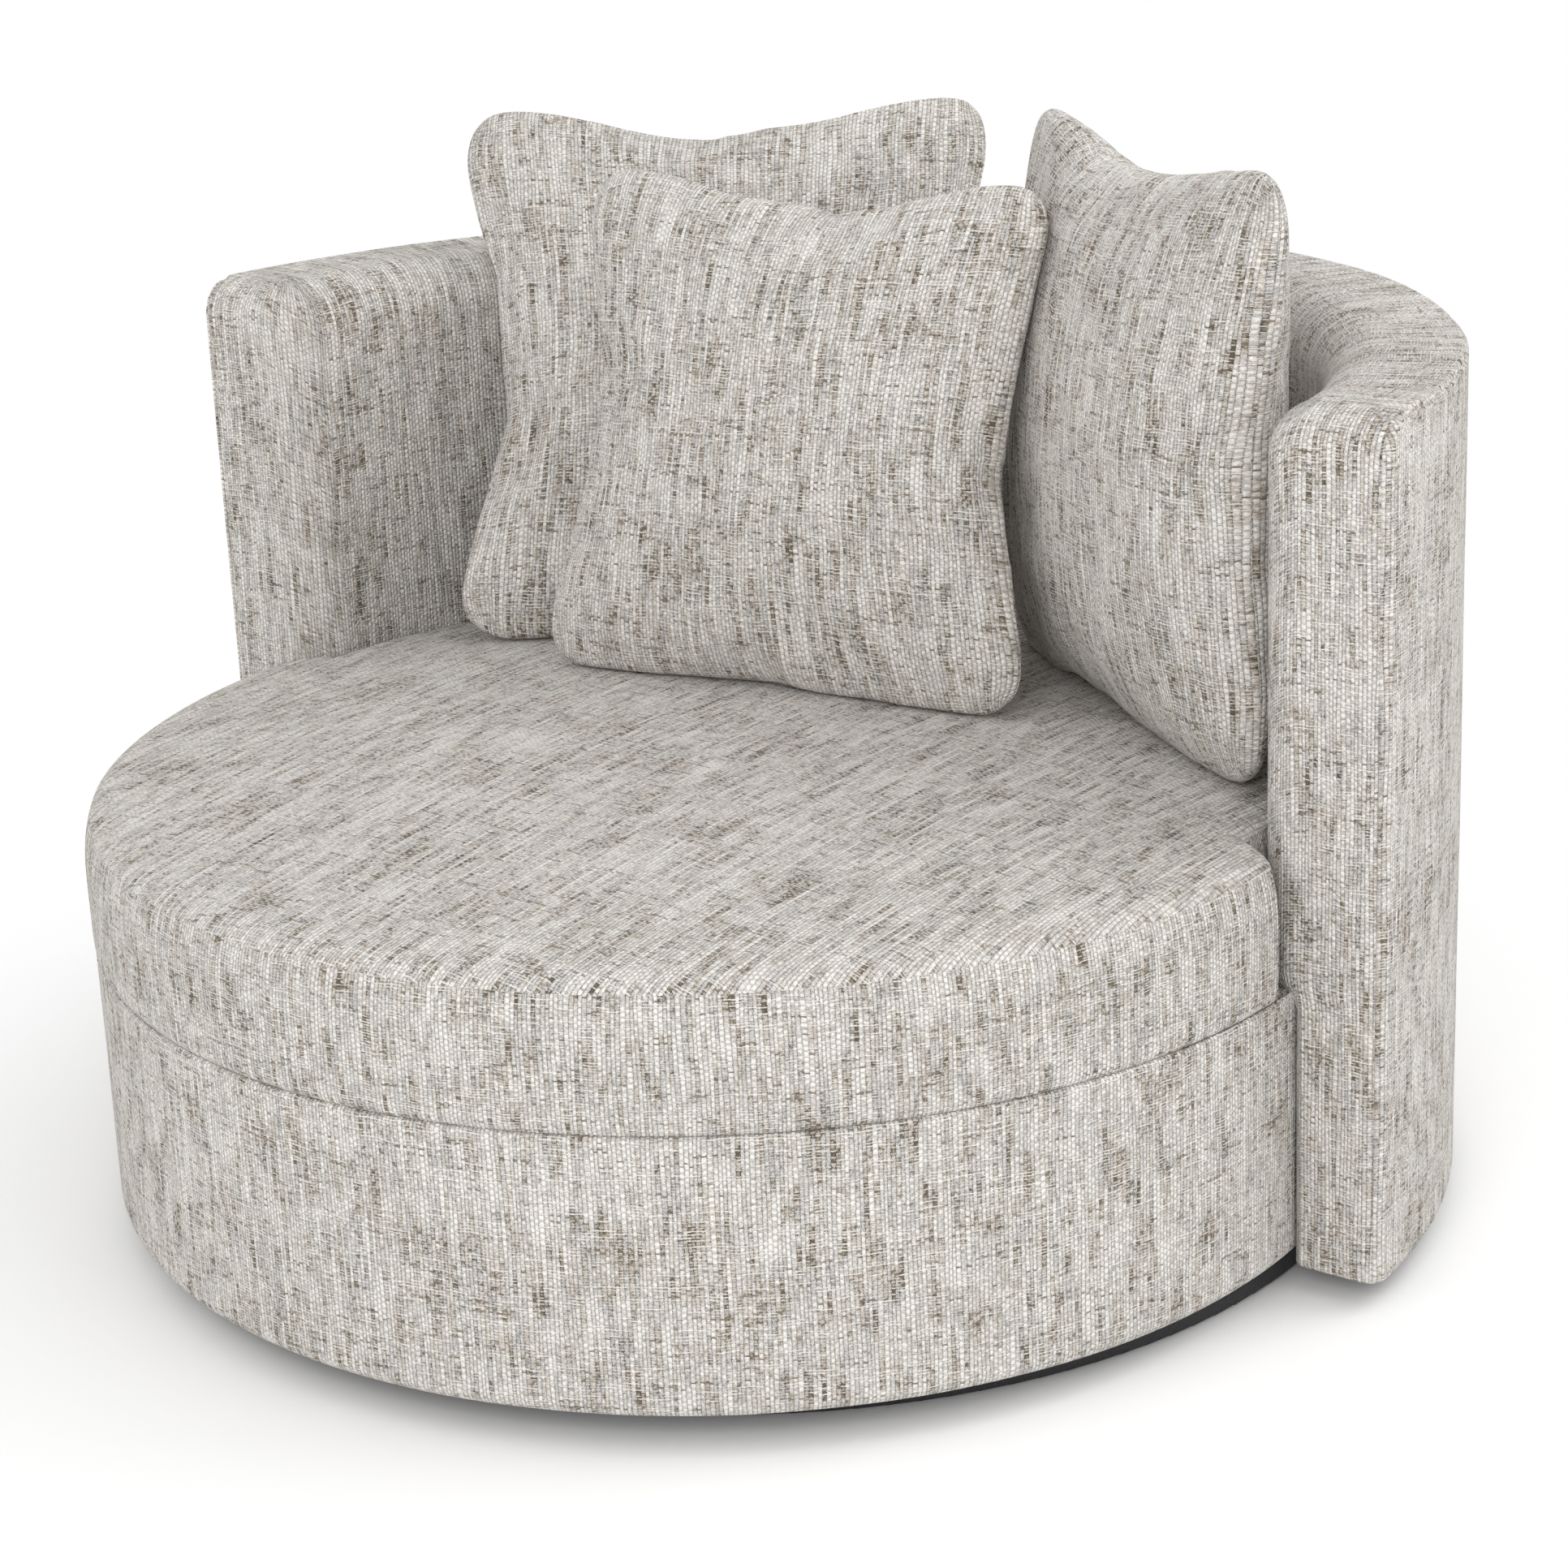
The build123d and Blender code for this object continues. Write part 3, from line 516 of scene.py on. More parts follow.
# %% Seat cushion
low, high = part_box("seat_cover")
SEAT_LOW, SEAT_CROWN = low.z, high.z
SEAT_RADIUS = (high.x - low.x) / 2
SEAT_BACK_RADIUS = high.y - DRUM_CENTRE
SEAT_BOXING, BOXING_RUN = 0.126, 0.135  # height of the boxing, and its cloth measured over the bulge
SEAT_SEAM = SEAT_LOW + SEAT_BOXING
SEAT_DRAWN_IN, SEAT_TUCK = 0.008, 0.006  # how far the seams lie in from the boxing, above and below
DRAWN_IN_POWER, TUCK_POWER = 3, 14  # how late the boxing turns in to its seams, above and below
SEAT_ROLL, SEAT_ROLL_REACH = 0.009, 0.011  # how far the top rolls down to its seam, and how close to it
SEAT_SWELL, SEAT_WAVE = 0.0016, 0.16  # waves of the top: their height and their size
SEAM_CALM = 0.03  # the waves of the top fade out this close to the seam
BOXING_SWELL, BOXING_WAVE = 0.0014, 0.13  # waves of the boxing: a share of its radius, and their size
ARM_END_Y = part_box("back_inner_cover")[0].y
ARM_END_TURN = np.arccos((ARM_END_Y - DRUM_CENTRE) / SEAT_RADIUS)
WIDEN_TURN, WIDEN_POWER = radians(2.6), 0.35  # how soon the cushion widens in front of the arm ends
SEAT_TOP_RADIUS = SEAT_RADIUS - SEAT_DRAWN_IN
SEAT_SPHERE = (SEAT_TOP_RADIUS**2 + (SEAT_CROWN - SEAT_SEAM) ** 2) / (2 * (SEAT_CROWN - SEAT_SEAM))


def seat_level(radius):
    """Height of the crowned top at a distance from the middle."""
    return SEAT_CROWN - SEAT_SPHERE + np.sqrt(SEAT_SPHERE**2 - np.minimum(radius, SEAT_TOP_RADIUS) ** 2)


def seat_reach(angles):
    """The cushion's radius: full in front of the arm ends, narrower between the arms, with a soft corner."""
    from_back = np.abs((angles + pi) % tau - pi)
    share = np.clip((from_back - ARM_END_TURN) / WIDEN_TURN, 0, 1) ** WIDEN_POWER
    return SEAT_BACK_RADIUS + (SEAT_RADIUS - SEAT_BACK_RADIUS) * share


notch = ARM_END_TURN + np.linspace(-0.012, 0.05, 26)  # more columns where the cushion widens
angles = np.unique(np.concatenate([np.linspace(0, tau, 400, endpoint=False), notch, tau - notch]))
reach = seat_reach(angles)[:, None]
round_angles = np.append(angles, tau)

out = 1 - (1 - np.linspace(0, 1, 56)) ** 1.5
radius = out[::-1] * (reach - SEAT_DRAWN_IN)
to_seam = (reach - SEAT_DRAWN_IN) - radius
level = seat_level(radius) - SEAT_ROLL * np.exp(-to_seam / SEAT_ROLL_REACH)
top_points = ring(angles, radius, level)
top_points[..., 2] += SEAT_SWELL * uneven(top_points, SEAT_WAVE) * (1 - np.exp(-to_seam / SEAM_CALM))
top_map = np.concatenate([top_points[..., :2], top_points[:1, :, :2]])

down = 0.5 + 0.5 * np.sin(np.linspace(pi / 2, -pi / 2, 34))
upper_half = down > 0.5
seam_inset = np.where(upper_half, SEAT_DRAWN_IN, SEAT_TUCK)
lateness = np.where(upper_half, DRAWN_IN_POWER, TUCK_POWER)
bulge = SEAT_DRAWN_IN - seam_inset * np.abs(2 * down - 1) ** lateness
edge = top_points[:, :1, 2]
box_height = SEAT_LOW + down * (edge - SEAT_LOW)
box_points = ring(angles, reach - SEAT_DRAWN_IN + bulge, box_height)
push = BOXING_SWELL * (uneven(box_points, BOXING_WAVE) - 0.5) * bulge / SEAT_DRAWN_IN
box_points[..., :2] += (box_points[..., :2] - [0, DRUM_CENTRE]) * push[..., None]
box_v = SEAT_LOW + down * BOXING_RUN
box_map = np.stack(np.broadcast_arrays(round_angles[:, None] * SEAT_RADIUS, box_v), axis=-1)

under = np.linspace(1, 0, 8)
under_points = ring(angles, under * (reach - SEAT_TUCK), SEAT_LOW)
under_map = np.concatenate([under_points[..., :2], under_points[:1, :, :2]])


def rising(points, flat):
    """Turns a panel that was laid out from top to bottom round, so that its outside faces out."""
    return panel(points[:, ::-1], flat[:, ::-1], wrap=True)


seat = sewn("seat_cushion", [panel(top_points, top_map, wrap=True), rising(box_points, box_map),
                             rising(under_points, under_map)])
upholster(seat, "seat", ("seat_cover", "seat_foam"))

# %% [markdown]
# ## The back and arms
#
# The half-round shell has two panels. One padded panel starts at the outer edge of an arm end, goes round
# the soft front corner, along the whole inside and round to the other arm end, and its upper edge rolls
# over the top rail to the outer edge. The outer panel is pulled tight over thin wadding. Plain seams join
# them along the outer edge of the top and of the arm ends; at a seam both cloths dip into a narrow groove.
# On the flat top the cloth lies radially, so that part gets a map of its own, and the weave changes
# direction where the top meets an arm end.

# %% Inner and end panel of the back
low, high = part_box("back_inner_cover")
BACK_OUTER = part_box("back_outer_cover")[1].y - DRUM_CENTRE
BACK_CLEAR = 0.0005  # gap between the back and what it closes round
BACK_INNER = SEAT_BACK_RADIUS + BACK_CLEAR
BACK_END = ARM_END_Y - DRUM_CENTRE
BACK_LOW, BACK_TOP = low.z, high.z
BACK_STEP, STEP_BLEND = DRUM_HIGH, 0.024  # at the drum's top the inner face steps in, over this height
BACK_CORNER, BACK_NOSE, BACK_HEEL = 0.050, 0.034, 0.006  # roundings: in plan, above and below
LOWER_INNER, LOWER_CORNER = DRUM_RADIUS + BACK_CLEAR, 0.008
SEAM_LIP, SEAM_DEPTH = 0.007, 0.006  # width and depth of the dip at a seam
BACK_HEM, HEM_LIFT = 0.03, 0.002  # cloth turned under at the bottom, above the black strip
TOP_FAN = 0.035  # how far round the top's columns fan out from an arm end
BACK_SWELL, BACK_WAVE = 0.0012, 0.14  # waves of the inner panel: their height and their size
LINE_STEPS, CORNER_STEPS, HALF_STEPS = 18, 18, 84
WALL_STEPS, ROLL_STEPS = 74, 14
TOP_STEPS, LIP_STEPS, SEAM_STEPS = 17, 4, 5
TOP_ROWS = TOP_STEPS + LIP_STEPS


def end_to_middle(inner, corner):
    """Plan of half the inner panel, from an arm end's outer edge to the middle of the back; with normals."""
    outer_x = sqrt(BACK_OUTER**2 - BACK_END**2)
    centre = np.array([sqrt((inner + corner) ** 2 - (BACK_END + corner) ** 2), BACK_END + corner])
    lean = atan2(centre[1], centre[0])
    line_x = np.linspace(outer_x - SEAM_LIP, centre[0], LINE_STEPS + 1)[:-1]
    line = np.stack([line_x, np.full(LINE_STEPS, BACK_END)], axis=-1)
    turn = np.linspace(1.5 * pi, pi + lean, CORNER_STEPS)
    turned = np.stack([np.cos(turn), np.sin(turn)], axis=-1)
    sweep = np.linspace(lean, pi / 2, HALF_STEPS + 1)[1:]
    swept = np.stack([np.cos(sweep), np.sin(sweep)], axis=-1)
    places = np.concatenate([line, centre + corner * turned, inner * swept])
    normals = np.concatenate([np.tile([0.0, -1.0], (LINE_STEPS, 1)), turned, -swept])
    return places, normals


def both_sides(half, flip):
    """A half laid out from one arm to the middle, as a whole from the chair's right to its left."""
    return np.concatenate([half * flip, half[-2::-1]])


def groove(share):
    """How deep the cloth dips at a share of the way from its flat face to the seam."""
    return SEAM_DEPTH * (1 - np.sqrt(1 - share**2))


half_places, half_normals = end_to_middle(BACK_INNER, BACK_CORNER)
low_half, _ = end_to_middle(LOWER_INNER, LOWER_CORNER)
mirror = np.array([-1.0, 1.0])
upper, lower, facing = (both_sides(half, mirror) for half in (half_places, low_half, half_normals))
columns = len(upper)
half_share = np.concatenate([np.zeros(LINE_STEPS), np.linspace(0, 1, CORNER_STEPS), np.ones(HALF_STEPS)])
half_roll = BACK_NOSE + (BACK_CORNER - BACK_NOSE) * half_share
roll = both_sides(half_roll, 1)[:, None]

corner_turn = asin((BACK_END + BACK_NOSE) / BACK_OUTER)
corner_y, corner_reach = BACK_END + BACK_CORNER, BACK_INNER + BACK_CORNER
inner_turn = atan2(corner_y, sqrt(corner_reach**2 - corner_y**2))
half_turn = np.concatenate([np.linspace(corner_turn, corner_turn + TOP_FAN, LINE_STEPS + 1)[:-1],
                            np.linspace(corner_turn + TOP_FAN, inner_turn + TOP_FAN, CORNER_STEPS),
                            np.linspace(inner_turn + TOP_FAN, pi / 2, HALF_STEPS + 1)[1:]])
half_brow = np.stack([np.cos(half_turn), np.sin(half_turn)], axis=-1)
brow = both_sides(half_brow, mirror)

lip_out = np.concatenate([np.linspace(0, 1, SEAM_STEPS + 1)[:-1], np.ones(len(half_places) - SEAM_STEPS)])
half_dip = groove(1 - lip_out)
dip = both_sides(half_dip, 1)[:, None]
heel_in, heel_up = quarter(BACK_HEEL, -90, 0, 6)


def back_rows():
    """The rows of the inner panel, bottom to top: plan, height, and the way the cloth faces there."""
    level_normal = np.concatenate([facing, np.zeros((columns, 1))], axis=1)
    up = np.tile([0.0, 0.0, 1.0], (columns, 1))
    heel = [(BACK_HEEL - reach, rise) for reach, rise in zip(heel_in, heel_up)]
    for inset, rise in [(BACK_HEM, HEM_LIFT - BACK_HEEL)] + heel:
        yield lower - inset * facing, np.full(columns, BACK_LOW + BACK_HEEL + rise), level_normal
    for share in np.linspace(0, 1, WALL_STEPS)[1:]:
        height = BACK_LOW + BACK_HEEL + share * (BACK_TOP - roll[:, 0] - BACK_LOW - BACK_HEEL)
        above = np.clip((height - BACK_STEP + STEP_BLEND / 2) / STEP_BLEND, 0, 1)[:, None]
        above = above * above * (3 - 2 * above)
        yield lower + above * (upper - lower), height, level_normal
    for turn in np.linspace(0, pi / 2, ROLL_STEPS)[1:]:
        yield (upper - roll * (1 - cos(turn)) * facing, BACK_TOP - roll[:, 0] * (1 - sin(turn)),
               level_normal * cos(turn) + up * sin(turn))
    shoulder = upper - roll * facing
    for share in np.linspace(0, 1, TOP_STEPS + 1)[1:]:
        plan = shoulder + share * ((BACK_OUTER - SEAM_LIP) * brow - shoulder)
        yield plan, np.full(columns, BACK_TOP), up
    for share in np.linspace(0, 1, LIP_STEPS + 1)[1:]:
        plan = (BACK_OUTER - SEAM_LIP * (1 - 0.5 * share)) * brow
        yield plan, np.full(columns, BACK_TOP - groove(share)), up


rows = list(back_rows())
plan, heights, normals = (np.stack(part, axis=1) for part in zip(*rows))
points = np.concatenate([plan + [0, DRUM_CENTRE], heights[..., None]], axis=-1) - dip[:, None] * normals
points += BACK_SWELL * uneven(points, BACK_WAVE)[..., None] * normals
u = run_length(upper)
v = np.stack([run_length(points[column]) for column in range(columns)])
flat = np.stack([np.broadcast_to(u[:, None], v.shape), v], axis=-1)

rim = len(rows) - TOP_ROWS  # the row where the roll ends and the flat top begins
middle = columns // 2
top_points = points[:, rim - 1:]
from_centre = top_points[..., :2] - [0, DRUM_CENTRE]
top_u = u[middle] + (pi / 2 - np.arctan2(from_centre[..., 1], from_centre[..., 0])) * BACK_INNER
top_v = v[middle, rim - 1] + np.linalg.norm(from_centre, axis=-1) - BACK_INNER - BACK_CORNER
top_flat = np.stack([top_u, top_v], axis=-1)
inside_panels = [panel(points[:, :rim], flat[:, :rim]), panel(top_points, top_flat)]
back_inside = sewn("back_inner_upholstery", inside_panels)
give_thickness(back_inside)
inside_solids = ("back_inner_cover", "back_inner_foam", "back_top_pad", "back_end_pads")
upholster(back_inside, "seat", inside_solids)

# %% [markdown]
# The outer panel follows the shell's outer curve. Its front corners are rounded like the end panel, at the
# nose above and at the heel below, and its edges dip into the same seam groove.

# %% Outer panel of the back
OUTER_STEPS, OUTER_ROWS = 240, 64
OUTER_SAG, OUTER_WAVE = 0.0008, 0.15  # how far the cloth lies in, unevenly, and the size of its waves

wall = np.linspace(BACK_LOW + BACK_HEEL, BACK_TOP - SEAM_LIP, OUTER_ROWS)[1:]
lip = np.linspace(0, 1, SEAM_STEPS + 1)[1:]
radius = np.concatenate([[BACK_OUTER - BACK_HEM], BACK_OUTER - BACK_HEEL + heel_in,
                         np.full(wall.shape, BACK_OUTER), BACK_OUTER - groove(lip)])
height = np.concatenate([[BACK_LOW + HEM_LIFT], BACK_LOW + BACK_HEEL + heel_up,
                         wall, BACK_TOP - SEAM_LIP * (1 - 0.5 * lip)])
above_nose = np.clip(height - (BACK_TOP - BACK_NOSE), 0, BACK_NOSE)
below_heel = np.clip(BACK_LOW + BACK_HEEL - height, 0, BACK_HEEL)
nose_back = BACK_NOSE - np.sqrt(BACK_NOSE**2 - above_nose**2)
heel_back = BACK_HEEL - np.sqrt(BACK_HEEL**2 - below_heel**2)
start_y = BACK_END + SEAM_LIP * 0.5 + (nose_back + heel_back)
start = np.arcsin(start_y / BACK_OUTER)
share = np.linspace(0, 1, OUTER_STEPS)
turn = start + share[:, None] * (pi - 2 * start)
from_edge = np.minimum(turn - start, pi - start - turn) * BACK_OUTER
edge_dip = groove(np.clip(1 - from_edge / SEAM_LIP, 0, 1))
points = np.stack([(radius - edge_dip) * np.cos(turn), DRUM_CENTRE + (radius - edge_dip) * np.sin(turn),
                   np.broadcast_to(height, turn.shape)], axis=-1)
sag = OUTER_SAG * (1 + uneven(points, OUTER_WAVE))
points[..., :2] -= (points[..., :2] - [0, DRUM_CENTRE]) / BACK_OUTER * sag[..., None]
along_profile = run_length(np.stack([radius, height], axis=-1))
flat = np.stack([turn * BACK_OUTER, np.broadcast_to(along_profile, turn.shape)], axis=-1)
back_outside = sewn("back_outer_upholstery", [panel(points, flat)])
give_thickness(back_outside)
upholster(back_outside, "seat", ("back_outer_cover", "back_wadding"))

# %% [markdown]
# ## The scatter cushions
#
# Each cushion is two square panels sewn edge to edge round a soft filling. Flat cloth can't take up the
# fullness of the middle, so the sides draw in, the corners stay out as ears and small folds run in from the
# seams. The best way to get that is to do what the maker does: two flat squares are joined at their edges
# and blown up by a cloth simulation.

# %% Blow up a cushion
PANEL_CELLS = 76
FLAT_CROWN = 0.02  # the panels start a little apart, so that pressure opens them
EAR_ROUND, EAR_ROUND_POWER = 0.05, 10  # how much of the ears is cut off, and how near the corner
SEAM_WANDER, SEAM_WAVE = 0.012, 0.09  # how far the seams lie off, as a share, and the size of the waves
CROWN_UNEVEN, CROWN_LUMP = 0.5, 0.06  # how uneven the first crown is, and the size of its lumps
REAR_CUT = 0.7  # the rear panel is cut this far along the cloth
PRESSURE, FRAMES = 4.0, 28


def flat_cushion(name, size, seed):
    """Two joined, nearly flat panels in the cushion's own frame: x across, y up, z to the front."""
    side = np.linspace(-1, 1, PANEL_CELLS + 1)
    a, b = np.meshgrid(side, side, indexing="ij")
    crown = FLAT_CROWN * (1 - a**4) * (1 - b**4)
    cut = np.stack([a, b], axis=-1) * size / 2
    ears = 1 - EAR_ROUND * (a * b) ** EAR_ROUND_POWER
    front = np.concatenate([cut * ears[..., None], crown[..., None]], axis=-1)
    front[..., :2] *= 1 + SEAM_WANDER * uneven(front * [1, 1, 0] + [seed, 0, 0], SEAM_WAVE)[..., None]
    rear = front[::-1] * [1, 1, -1]
    front[..., 2] *= 1 + CROWN_UNEVEN * uneven(front + [0, seed, 0], CROWN_LUMP)
    rear[..., 2] *= 1 + CROWN_UNEVEN * uneven(rear + [0, seed, 0], CROWN_LUMP)
    return sewn(name, [panel(front, cut + seed), panel(rear, cut[::-1] + seed + REAR_CUT)])


def blow_up(made):
    """Runs the cloth simulation on the joined panels and keeps the last frame as the mesh."""
    cloth = made.modifiers.new("inflate", "CLOTH")
    cloth.point_cache.frame_start, cloth.point_cache.frame_end = 1, FRAMES
    settings = cloth.settings
    settings.quality, settings.mass, settings.air_damping = 6, 0.25, 2.0
    settings.tension_stiffness = settings.compression_stiffness = 40.0
    settings.shear_stiffness, settings.bending_stiffness = 10.0, 5.0
    settings.use_pressure, settings.uniform_pressure_force = True, PRESSURE
    settings.effector_weights.gravity = 0.0
    scene = bpy.context.scene
    for number in range(1, FRAMES + 1):
        scene.frame_set(number)
    swollen = bpy.data.meshes.new_from_object(made.evaluated_get(bpy.context.evaluated_depsgraph_get()))
    made.modifiers.remove(cloth)
    made.data = swollen
    scene.frame_set(1)


def mesh_points(mesh):
    """The places of a mesh's points, one row for each."""
    flat = np.empty(len(mesh.vertices) * 3, np.float32)
    mesh.vertices.foreach_get("co", flat)
    return flat.reshape(-1, 3).astype(float)


print("cushion helpers ready")

# %% [markdown]
# The simulation alone pinches the sides more than a well filled cushion does. So 30% of its shape is kept,
# for the folds, and blended with an even, plump form that has rounded ears and drawn-in sides. Each cushion
# is then scaled to its size, stretched a little at its ears, stood in its place with its lean, and
# flattened where it meets the seat.

# %% Place the three cushions
CUSHIONS = {  # size, thickness, angle round the seat, distance from the back, turn, lean; lengths in metres
    "front_cushion": (0.456, 0.160, 94.4, 0.449, 8.2, 14.5),
    "left_cushion": (0.506, 0.174, 125.7, 0.243, 34.4, 23.5),
    "right_cushion": (0.506, 0.174, 38.1, 0.162, -33.6, 2.5),
}
STRETCHES = {  # how much the ears stand out: across at the top, across at the bottom, and up
    "front_cushion": (1.045, 1.10, 1.07),
    "left_cushion": (1.04, 1.08, 1.085),
    "right_cushion": (0.985, 1.01, 1.06),
}
FOLD_SHARE = 0.30  # how much of the simulated shape is kept
SIDE_DRAW, TOP_DRAW, FOOT_DRAW = 0.17, 0.15, -0.01  # how far the edges draw in between the ears, as shares
DRAW_POWER = 1.6  # more than 1 draws in the middle of an edge more than the rest
EAR_POWER, EAR_REACH = 10, 6  # how square the ears are (2 is a circle), and how near the edge
NEAR_MIDDLE = 0.01  # keeps the ears' formula from dividing by nought in the middle
DENT_SHARE, DENT_SIZE = 0.3, 0.045  # soft dents: a part of the seams' wander, and their size
CUSHION_SINK, CUSHION_CLEAR = 0.009, 0.0012  # how deep a cushion stands in the seat, and the gap left there
CUSHION_SLUMP = 0.15  # how much of the filling sinks towards the foot


def full_size(points, size, thickness):
    """Points scaled so that they just fill the cushion's size."""
    return points * np.array([size, size, thickness]) / 2 / np.abs(points).max(axis=0)


def plump(flat, size):
    """The form of an evenly filled cushion, for points on its flat panels, as shares of its half size."""
    a, b = np.clip(flat[:, :2] / size * 2, -1, 1).T
    up_draw = (TOP_DRAW + FOOT_DRAW) / 2 + (TOP_DRAW - FOOT_DRAW) / 2 * b
    wide = np.maximum(np.maximum(np.abs(a), np.abs(b)), NEAR_MIDDLE)
    powers = np.abs(a) ** EAR_POWER + np.abs(b) ** EAR_POWER + NEAR_MIDDLE**EAR_POWER
    square = wide / powers ** (1 / EAR_POWER)
    ears = 1 - (1 - square) * wide**EAR_REACH
    x = a * ears * (1 - SIDE_DRAW * np.cos(pi / 2 * b) ** DRAW_POWER)
    y = b * ears * (1 - up_draw * np.cos(pi / 2 * a) ** DRAW_POWER)
    z = np.sign(flat[:, 2]) * np.sqrt((1 - a**2) * (1 - b**2))
    return np.stack([x, y, z], axis=-1)


def cushion_place(size, angle, standoff, turn, lean):
    """Where a cushion stands: its own frame to the chair's."""
    reach = BACK_INNER - standoff
    x, y = reach * cos(radians(angle)), DRUM_CENTRE + reach * sin(radians(angle))
    foot = (x, y, seat_level(reach) - CUSHION_SINK)
    return (Matrix.Translation(foot)
            @ Matrix.Rotation(radians(turn), 4, "Z")
            @ Matrix.Rotation(radians(-lean), 4, "X")
            @ Matrix.Rotation(pi / 2, 4, "X")
            @ Matrix.Translation((0, size / 2, 0)))


for seed, (name, (size, thickness, angle, standoff, turn, lean)) in enumerate(CUSHIONS.items(), 1):
    cushion = flat_cushion(name + "_upholstery", size, seed)
    even = full_size(plump(mesh_points(cushion.data), size), size, thickness)
    blow_up(cushion)
    even += FOLD_SHARE * (full_size(mesh_points(cushion.data), size, thickness) - even)
    points = full_size(even, size, thickness)
    dents = np.stack([uneven(points + [0, 0, seed + way], DENT_SIZE) for way in range(3)], axis=-1)
    points += SEAM_WANDER * size * DENT_SHARE * dents
    wide_top, wide_foot, tall = STRETCHES[name]
    b = points[:, 1] / size * 2
    points[:, 0] *= (wide_top + wide_foot) / 2 + (wide_top - wide_foot) / 2 * b
    points[:, 1] = (points[:, 1] + size / 2) * tall - size / 2
    points[:, 2] *= 1 - CUSHION_SLUMP / 2 * b
    place = np.array(cushion_place(size, angle, standoff, turn, lean))
    points = points @ place[:3, :3].T + place[:3, 3]
    seat_top = seat_level(np.hypot(points[:, 0], points[:, 1] - DRUM_CENTRE)) + CUSHION_CLEAR
    points[:, 2] = np.maximum(points[:, 2], seat_top)
    cushion.data.vertices.foreach_set("co", points.astype(np.float32).ravel())
    cushion.data.update()
    smoother = cushion.modifiers.new("smooth", "SUBSURF")
    smoother.levels = smoother.render_levels = 1
    upholster(cushion, name, (name + "_cover", name + "_filling"))

# %% [markdown]
# ## The hard pieces
#
# Under and inside the upholstery are boards, steel and cloth that are seen only when the chair is turned
# over or taken apart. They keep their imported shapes. One group makes a stretched, cloudy variation between
# two tones, which serves as wood grain, brushed steel, the pores of foam or the ribs of webbing, according
# to its scales.

# %% Finishes of the hard pieces
RELIEF_STRENGTH = 0.6
FINISH_TABLE = {  # light and dark tone, bumps a metre along each axis, roughness, relief in metres, metallic
    "dust_cloth": ((42, 42, 44), (24, 24, 26), (900, 900, 900), 0.95, 0.0004, 0.0),
    "foam": ((238, 228, 200), (222, 208, 172), (420, 420, 420), 0.95, 0.0006, 0.0),
    "webbing": ((74, 74, 78), (46, 46, 50), (320, 320, 40), 0.85, 0.0005, 0.0),
    "plywood": ((218, 190, 148), (186, 150, 106), (14, 160, 220), 0.6, 0.0003, 0.0),
    "black_board": ((38, 38, 39), (24, 24, 25), (260, 260, 260), 0.6, 0.0002, 0.0),
    "steel": ((196, 197, 200), (160, 161, 165), (40, 900, 900), 0.38, 0.00006, 1.0),
    "ball_steel": ((226, 227, 230), (206, 207, 211), (700, 700, 700), 0.12, 0.00001, 1.0),
    "glide_plastic": ((58, 58, 60), (44, 44, 46), (600, 600, 600), 0.5, 0.0001, 0.0),
}

grain_inputs = [("Place", "Vector", None), ("Scale", "Vector", (100.0, 100.0, 100.0)),
                ("Light", "Color", None), ("Dark", "Color", None)]
grain, given, leaves = new_group("two_tone_grain", grain_inputs, [("Color", "Color"), ("Height", "Float")])
stretch = grain.node("ShaderNodeVectorMath", {0: given["Place"], 1: given["Scale"]}, operation="MULTIPLY")
cloud = grain.noise(stretch.outputs[0], detail=4.0, roughness=0.6)
grain.feed(leaves["Color"], grain.mix(grain.between(cloud, 0.35, 0.65), given["Dark"], given["Light"]))
grain.feed(leaves["Height"], cloud)


def hard_finish(name, light, dark, scale, roughness, depth, metallic):
    """A material that varies between two tones, as one line of the table says."""
    material, wiring, shader = new_material(name)
    place = wiring.node("ShaderNodeTexCoord").outputs["Object"]
    tones = {"Place": place, "Scale": scale, "Light": srgb(*light), "Dark": srgb(*dark)}
    toned = wiring.node("ShaderNodeGroup", tones, node_tree=grain.tree)
    relief = {"Distance": depth, "Strength": RELIEF_STRENGTH, "Height": toned.outputs["Height"]}
    bump = wiring.node("ShaderNodeBump", relief)
    wiring.fill(shader, {"Base Color": toned.outputs["Color"], "Normal": bump.outputs[0],
                         "Roughness": roughness, "Metallic": metallic})
    return material


FINISHES = {name: hard_finish(name, *line) for name, line in FINISH_TABLE.items()}
slots = {entry["node"]: entry["material_slot"] for entry in frame["record"]["subparts"]}
for name, node in frame["nodes"].items():
    if slots[name] in FINISHES:
        node.data.materials.clear()
        node.data.materials.append(FINISHES[slots[name]])
print("finishes:", len(FINISHES))

# %% [markdown]
# ## Staples under the chair
#
# The black cloths under the drum and under the back are stapled to the boards above them. A row of staples
# follows an arc, so Geometry Nodes make it: an arc is cut into evenly spaced points, and a bent wire is set
# on each point and turned along the arc. Setting them by hand would take well over a hundred copies, while
# here a row is a few numbers.

# %% A row of staples
STAPLE_CROWN, STAPLE_WIRE = 0.010, 0.0005  # width of a staple, and radius of its wire
STAPLE_LEG, STAPLE_DROP = 0.003, 0.0014  # how far up its legs end, and how far down its crown is drawn
ARC_STEPS, WIRE_STEPS, WIRE_SIDES = 128, 8, 6

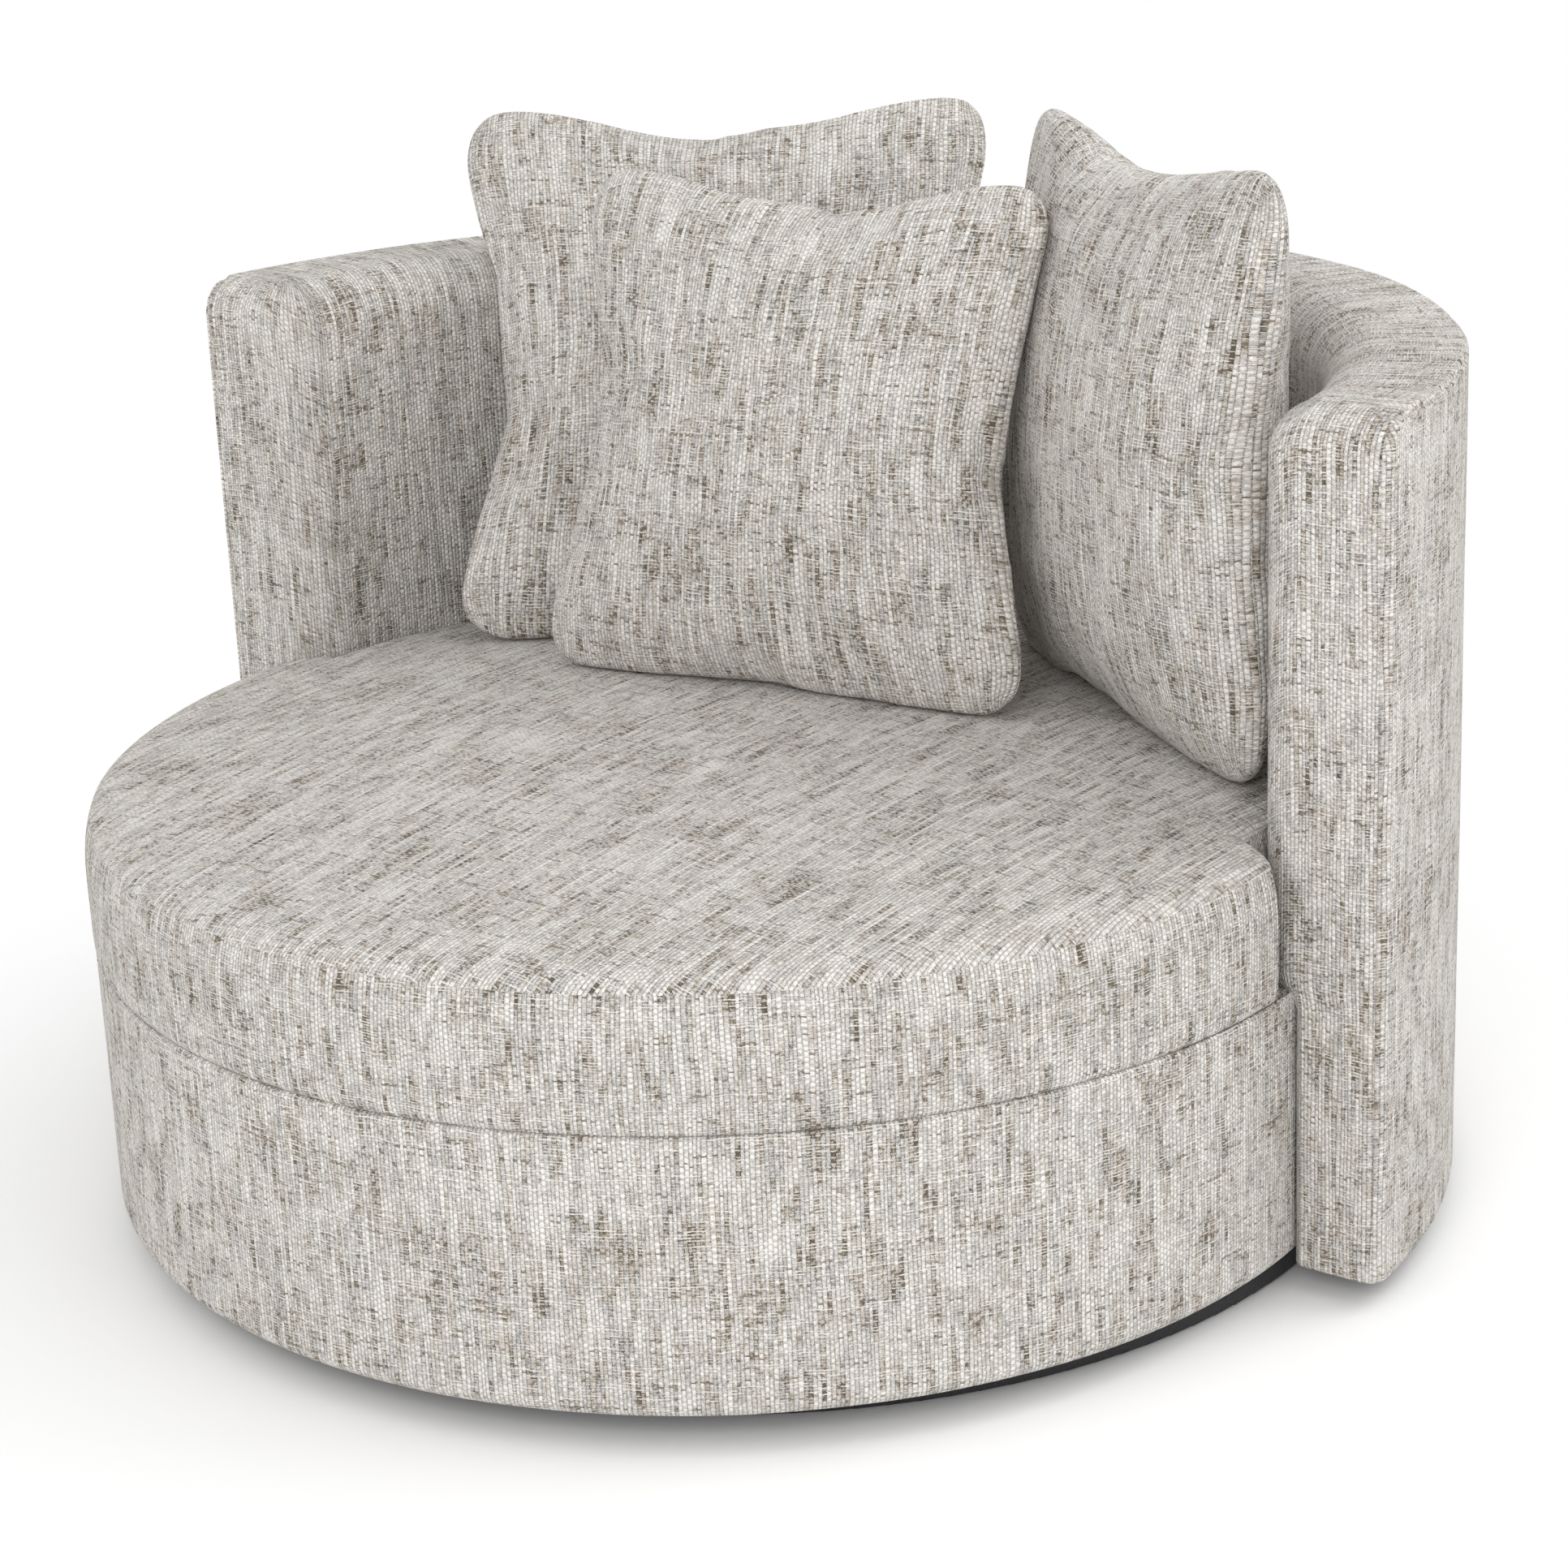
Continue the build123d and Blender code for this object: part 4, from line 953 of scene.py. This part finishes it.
row_inputs = [("Radius", "Float", 0.5), ("Start", "Float", 0.0), ("Sweep", "Float", tau),
              ("Count", "Int", 40), ("Level", "Float", 0.0), ("Centre", "Float", 0.0),
              ("Crown", "Float", STAPLE_CROWN), ("Wire", "Float", STAPLE_WIRE)]
row, given, leaves = new_group("staple_row", row_inputs, [("Geometry", "Geometry")],
                               tree_kind="GeometryNodeTree")
arc = row.node("GeometryNodeCurveArc", {"Resolution": ARC_STEPS, "Radius": given["Radius"],
                                        "Start Angle": given["Start"], "Sweep Angle": given["Sweep"]})
spaced = row.node("GeometryNodeResampleCurve", {"Curve": arc.outputs["Curve"], "Count": given["Count"]})
half_crown = row.times(given["Crown"], 0.5)
other_half = row.times(given["Crown"], -0.5)
wire = row.node("GeometryNodeCurvePrimitiveBezierSegment", {
    "Resolution": WIRE_STEPS,
    "Start": row.vector(other_half, 0.0, STAPLE_LEG),
    "Start Handle": row.vector(other_half, 0.0, -STAPLE_DROP),
    "End Handle": row.vector(half_crown, 0.0, -STAPLE_DROP),
    "End": row.vector(half_crown, 0.0, STAPLE_LEG),
})
section = row.node("GeometryNodeCurvePrimitiveCircle", {"Resolution": WIRE_SIDES, "Radius": given["Wire"]})
staple = row.node("GeometryNodeCurveToMesh", {
    "Curve": wire.outputs["Curve"],
    "Profile Curve": section.outputs["Curve"],
    "Fill Caps": True,
})
tangent = row.node("GeometryNodeInputTangent").outputs[0]
turned = row.node("FunctionNodeAlignRotationToVector", {"Vector": tangent}, axis="X")
placed = row.node("GeometryNodeInstanceOnPoints", {
    "Points": spaced.outputs["Curve"],
    "Instance": staple.outputs["Mesh"],
    "Rotation": turned.outputs[0],
})
place = row.vector(0.0, given["Centre"], given["Level"])
moved = row.node("GeometryNodeTransform", {"Geometry": placed.outputs[0], "Translation": place})
row.feed(leaves["Geometry"], moved.outputs[0])
print("staple row:", len(row.tree.nodes), "nodes")

# %% [markdown]
# A second group joins three such rows, one round the drum's cloth and two along the strip under the back,
# and gives them their steel. What it makes is kept as a plain mesh.

# %% Staples on the two dust cloths
STAPLE_EDGE = 0.016  # from a cloth's edge to its staples
STAPLE_PITCH = 0.045  # from staple to staple

cloth_inputs = [("Material", "Material", None), ("Crown", "Float", STAPLE_CROWN)]
all_rows, given, leaves = new_group("cloth_staples", cloth_inputs, [("Geometry", "Geometry")],
                                    tree_kind="GeometryNodeTree")
disc_low, disc_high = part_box("drum_dust_cover")
strip_low, strip_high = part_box("back_dust_strip")
disc_row = disc_high.x - STAPLE_EDGE
strip_rows = (strip_high.y - DRUM_CENTRE - STAPLE_EDGE, LOWER_INNER + STAPLE_EDGE)
strip_start = asin((strip_low.y - DRUM_CENTRE + STAPLE_EDGE) / strip_rows[1])
strip_sweep = pi - 2 * strip_start
arcs = [(disc_row, 0.0, tau, disc_low.z)]
arcs += [(radius, strip_start, strip_sweep, strip_low.z) for radius in strip_rows]
joined = all_rows.node("GeometryNodeJoinGeometry")
for radius, start, sweep, level in arcs:
    count = round(radius * sweep / STAPLE_PITCH)
    open_sweep = sweep * (1 - 1 / count) if sweep == tau else sweep
    measures = {"Radius": radius, "Start": start, "Sweep": open_sweep, "Count": count, "Level": level,
                "Centre": DRUM_CENTRE, "Crown": given["Crown"]}
    one = all_rows.node("GeometryNodeGroup", measures, node_tree=row.tree)
    all_rows.feed(joined.inputs[0], one.outputs[0])
real = all_rows.node("GeometryNodeRealizeInstances", {"Geometry": joined.outputs[0]}).outputs[0]
finished = all_rows.node("GeometryNodeSetMaterial", {"Geometry": real, "Material": given["Material"]})
all_rows.feed(leaves["Geometry"], finished.outputs[0])

staples = bpy.data.objects.new("cloth_staples", bpy.data.meshes.new("cloth_staples"))
bpy.context.collection.objects.link(staples)
maker = staples.modifiers.new("staples", "NODES")
maker.node_group = all_rows.tree
sockets = {item.name: item.identifier for item in all_rows.tree.interface.items_tree}
maker[sockets["Material"]] = FINISHES["steel"]
maker[sockets["Crown"]] = STAPLE_CROWN
made = bpy.data.meshes.new_from_object(staples.evaluated_get(bpy.context.evaluated_depsgraph_get()))
staples.modifiers.remove(maker)
staples.data = made
made.shade_smooth()
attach(staples, "seat")
print("staples:", len(made.polygons), "faces")
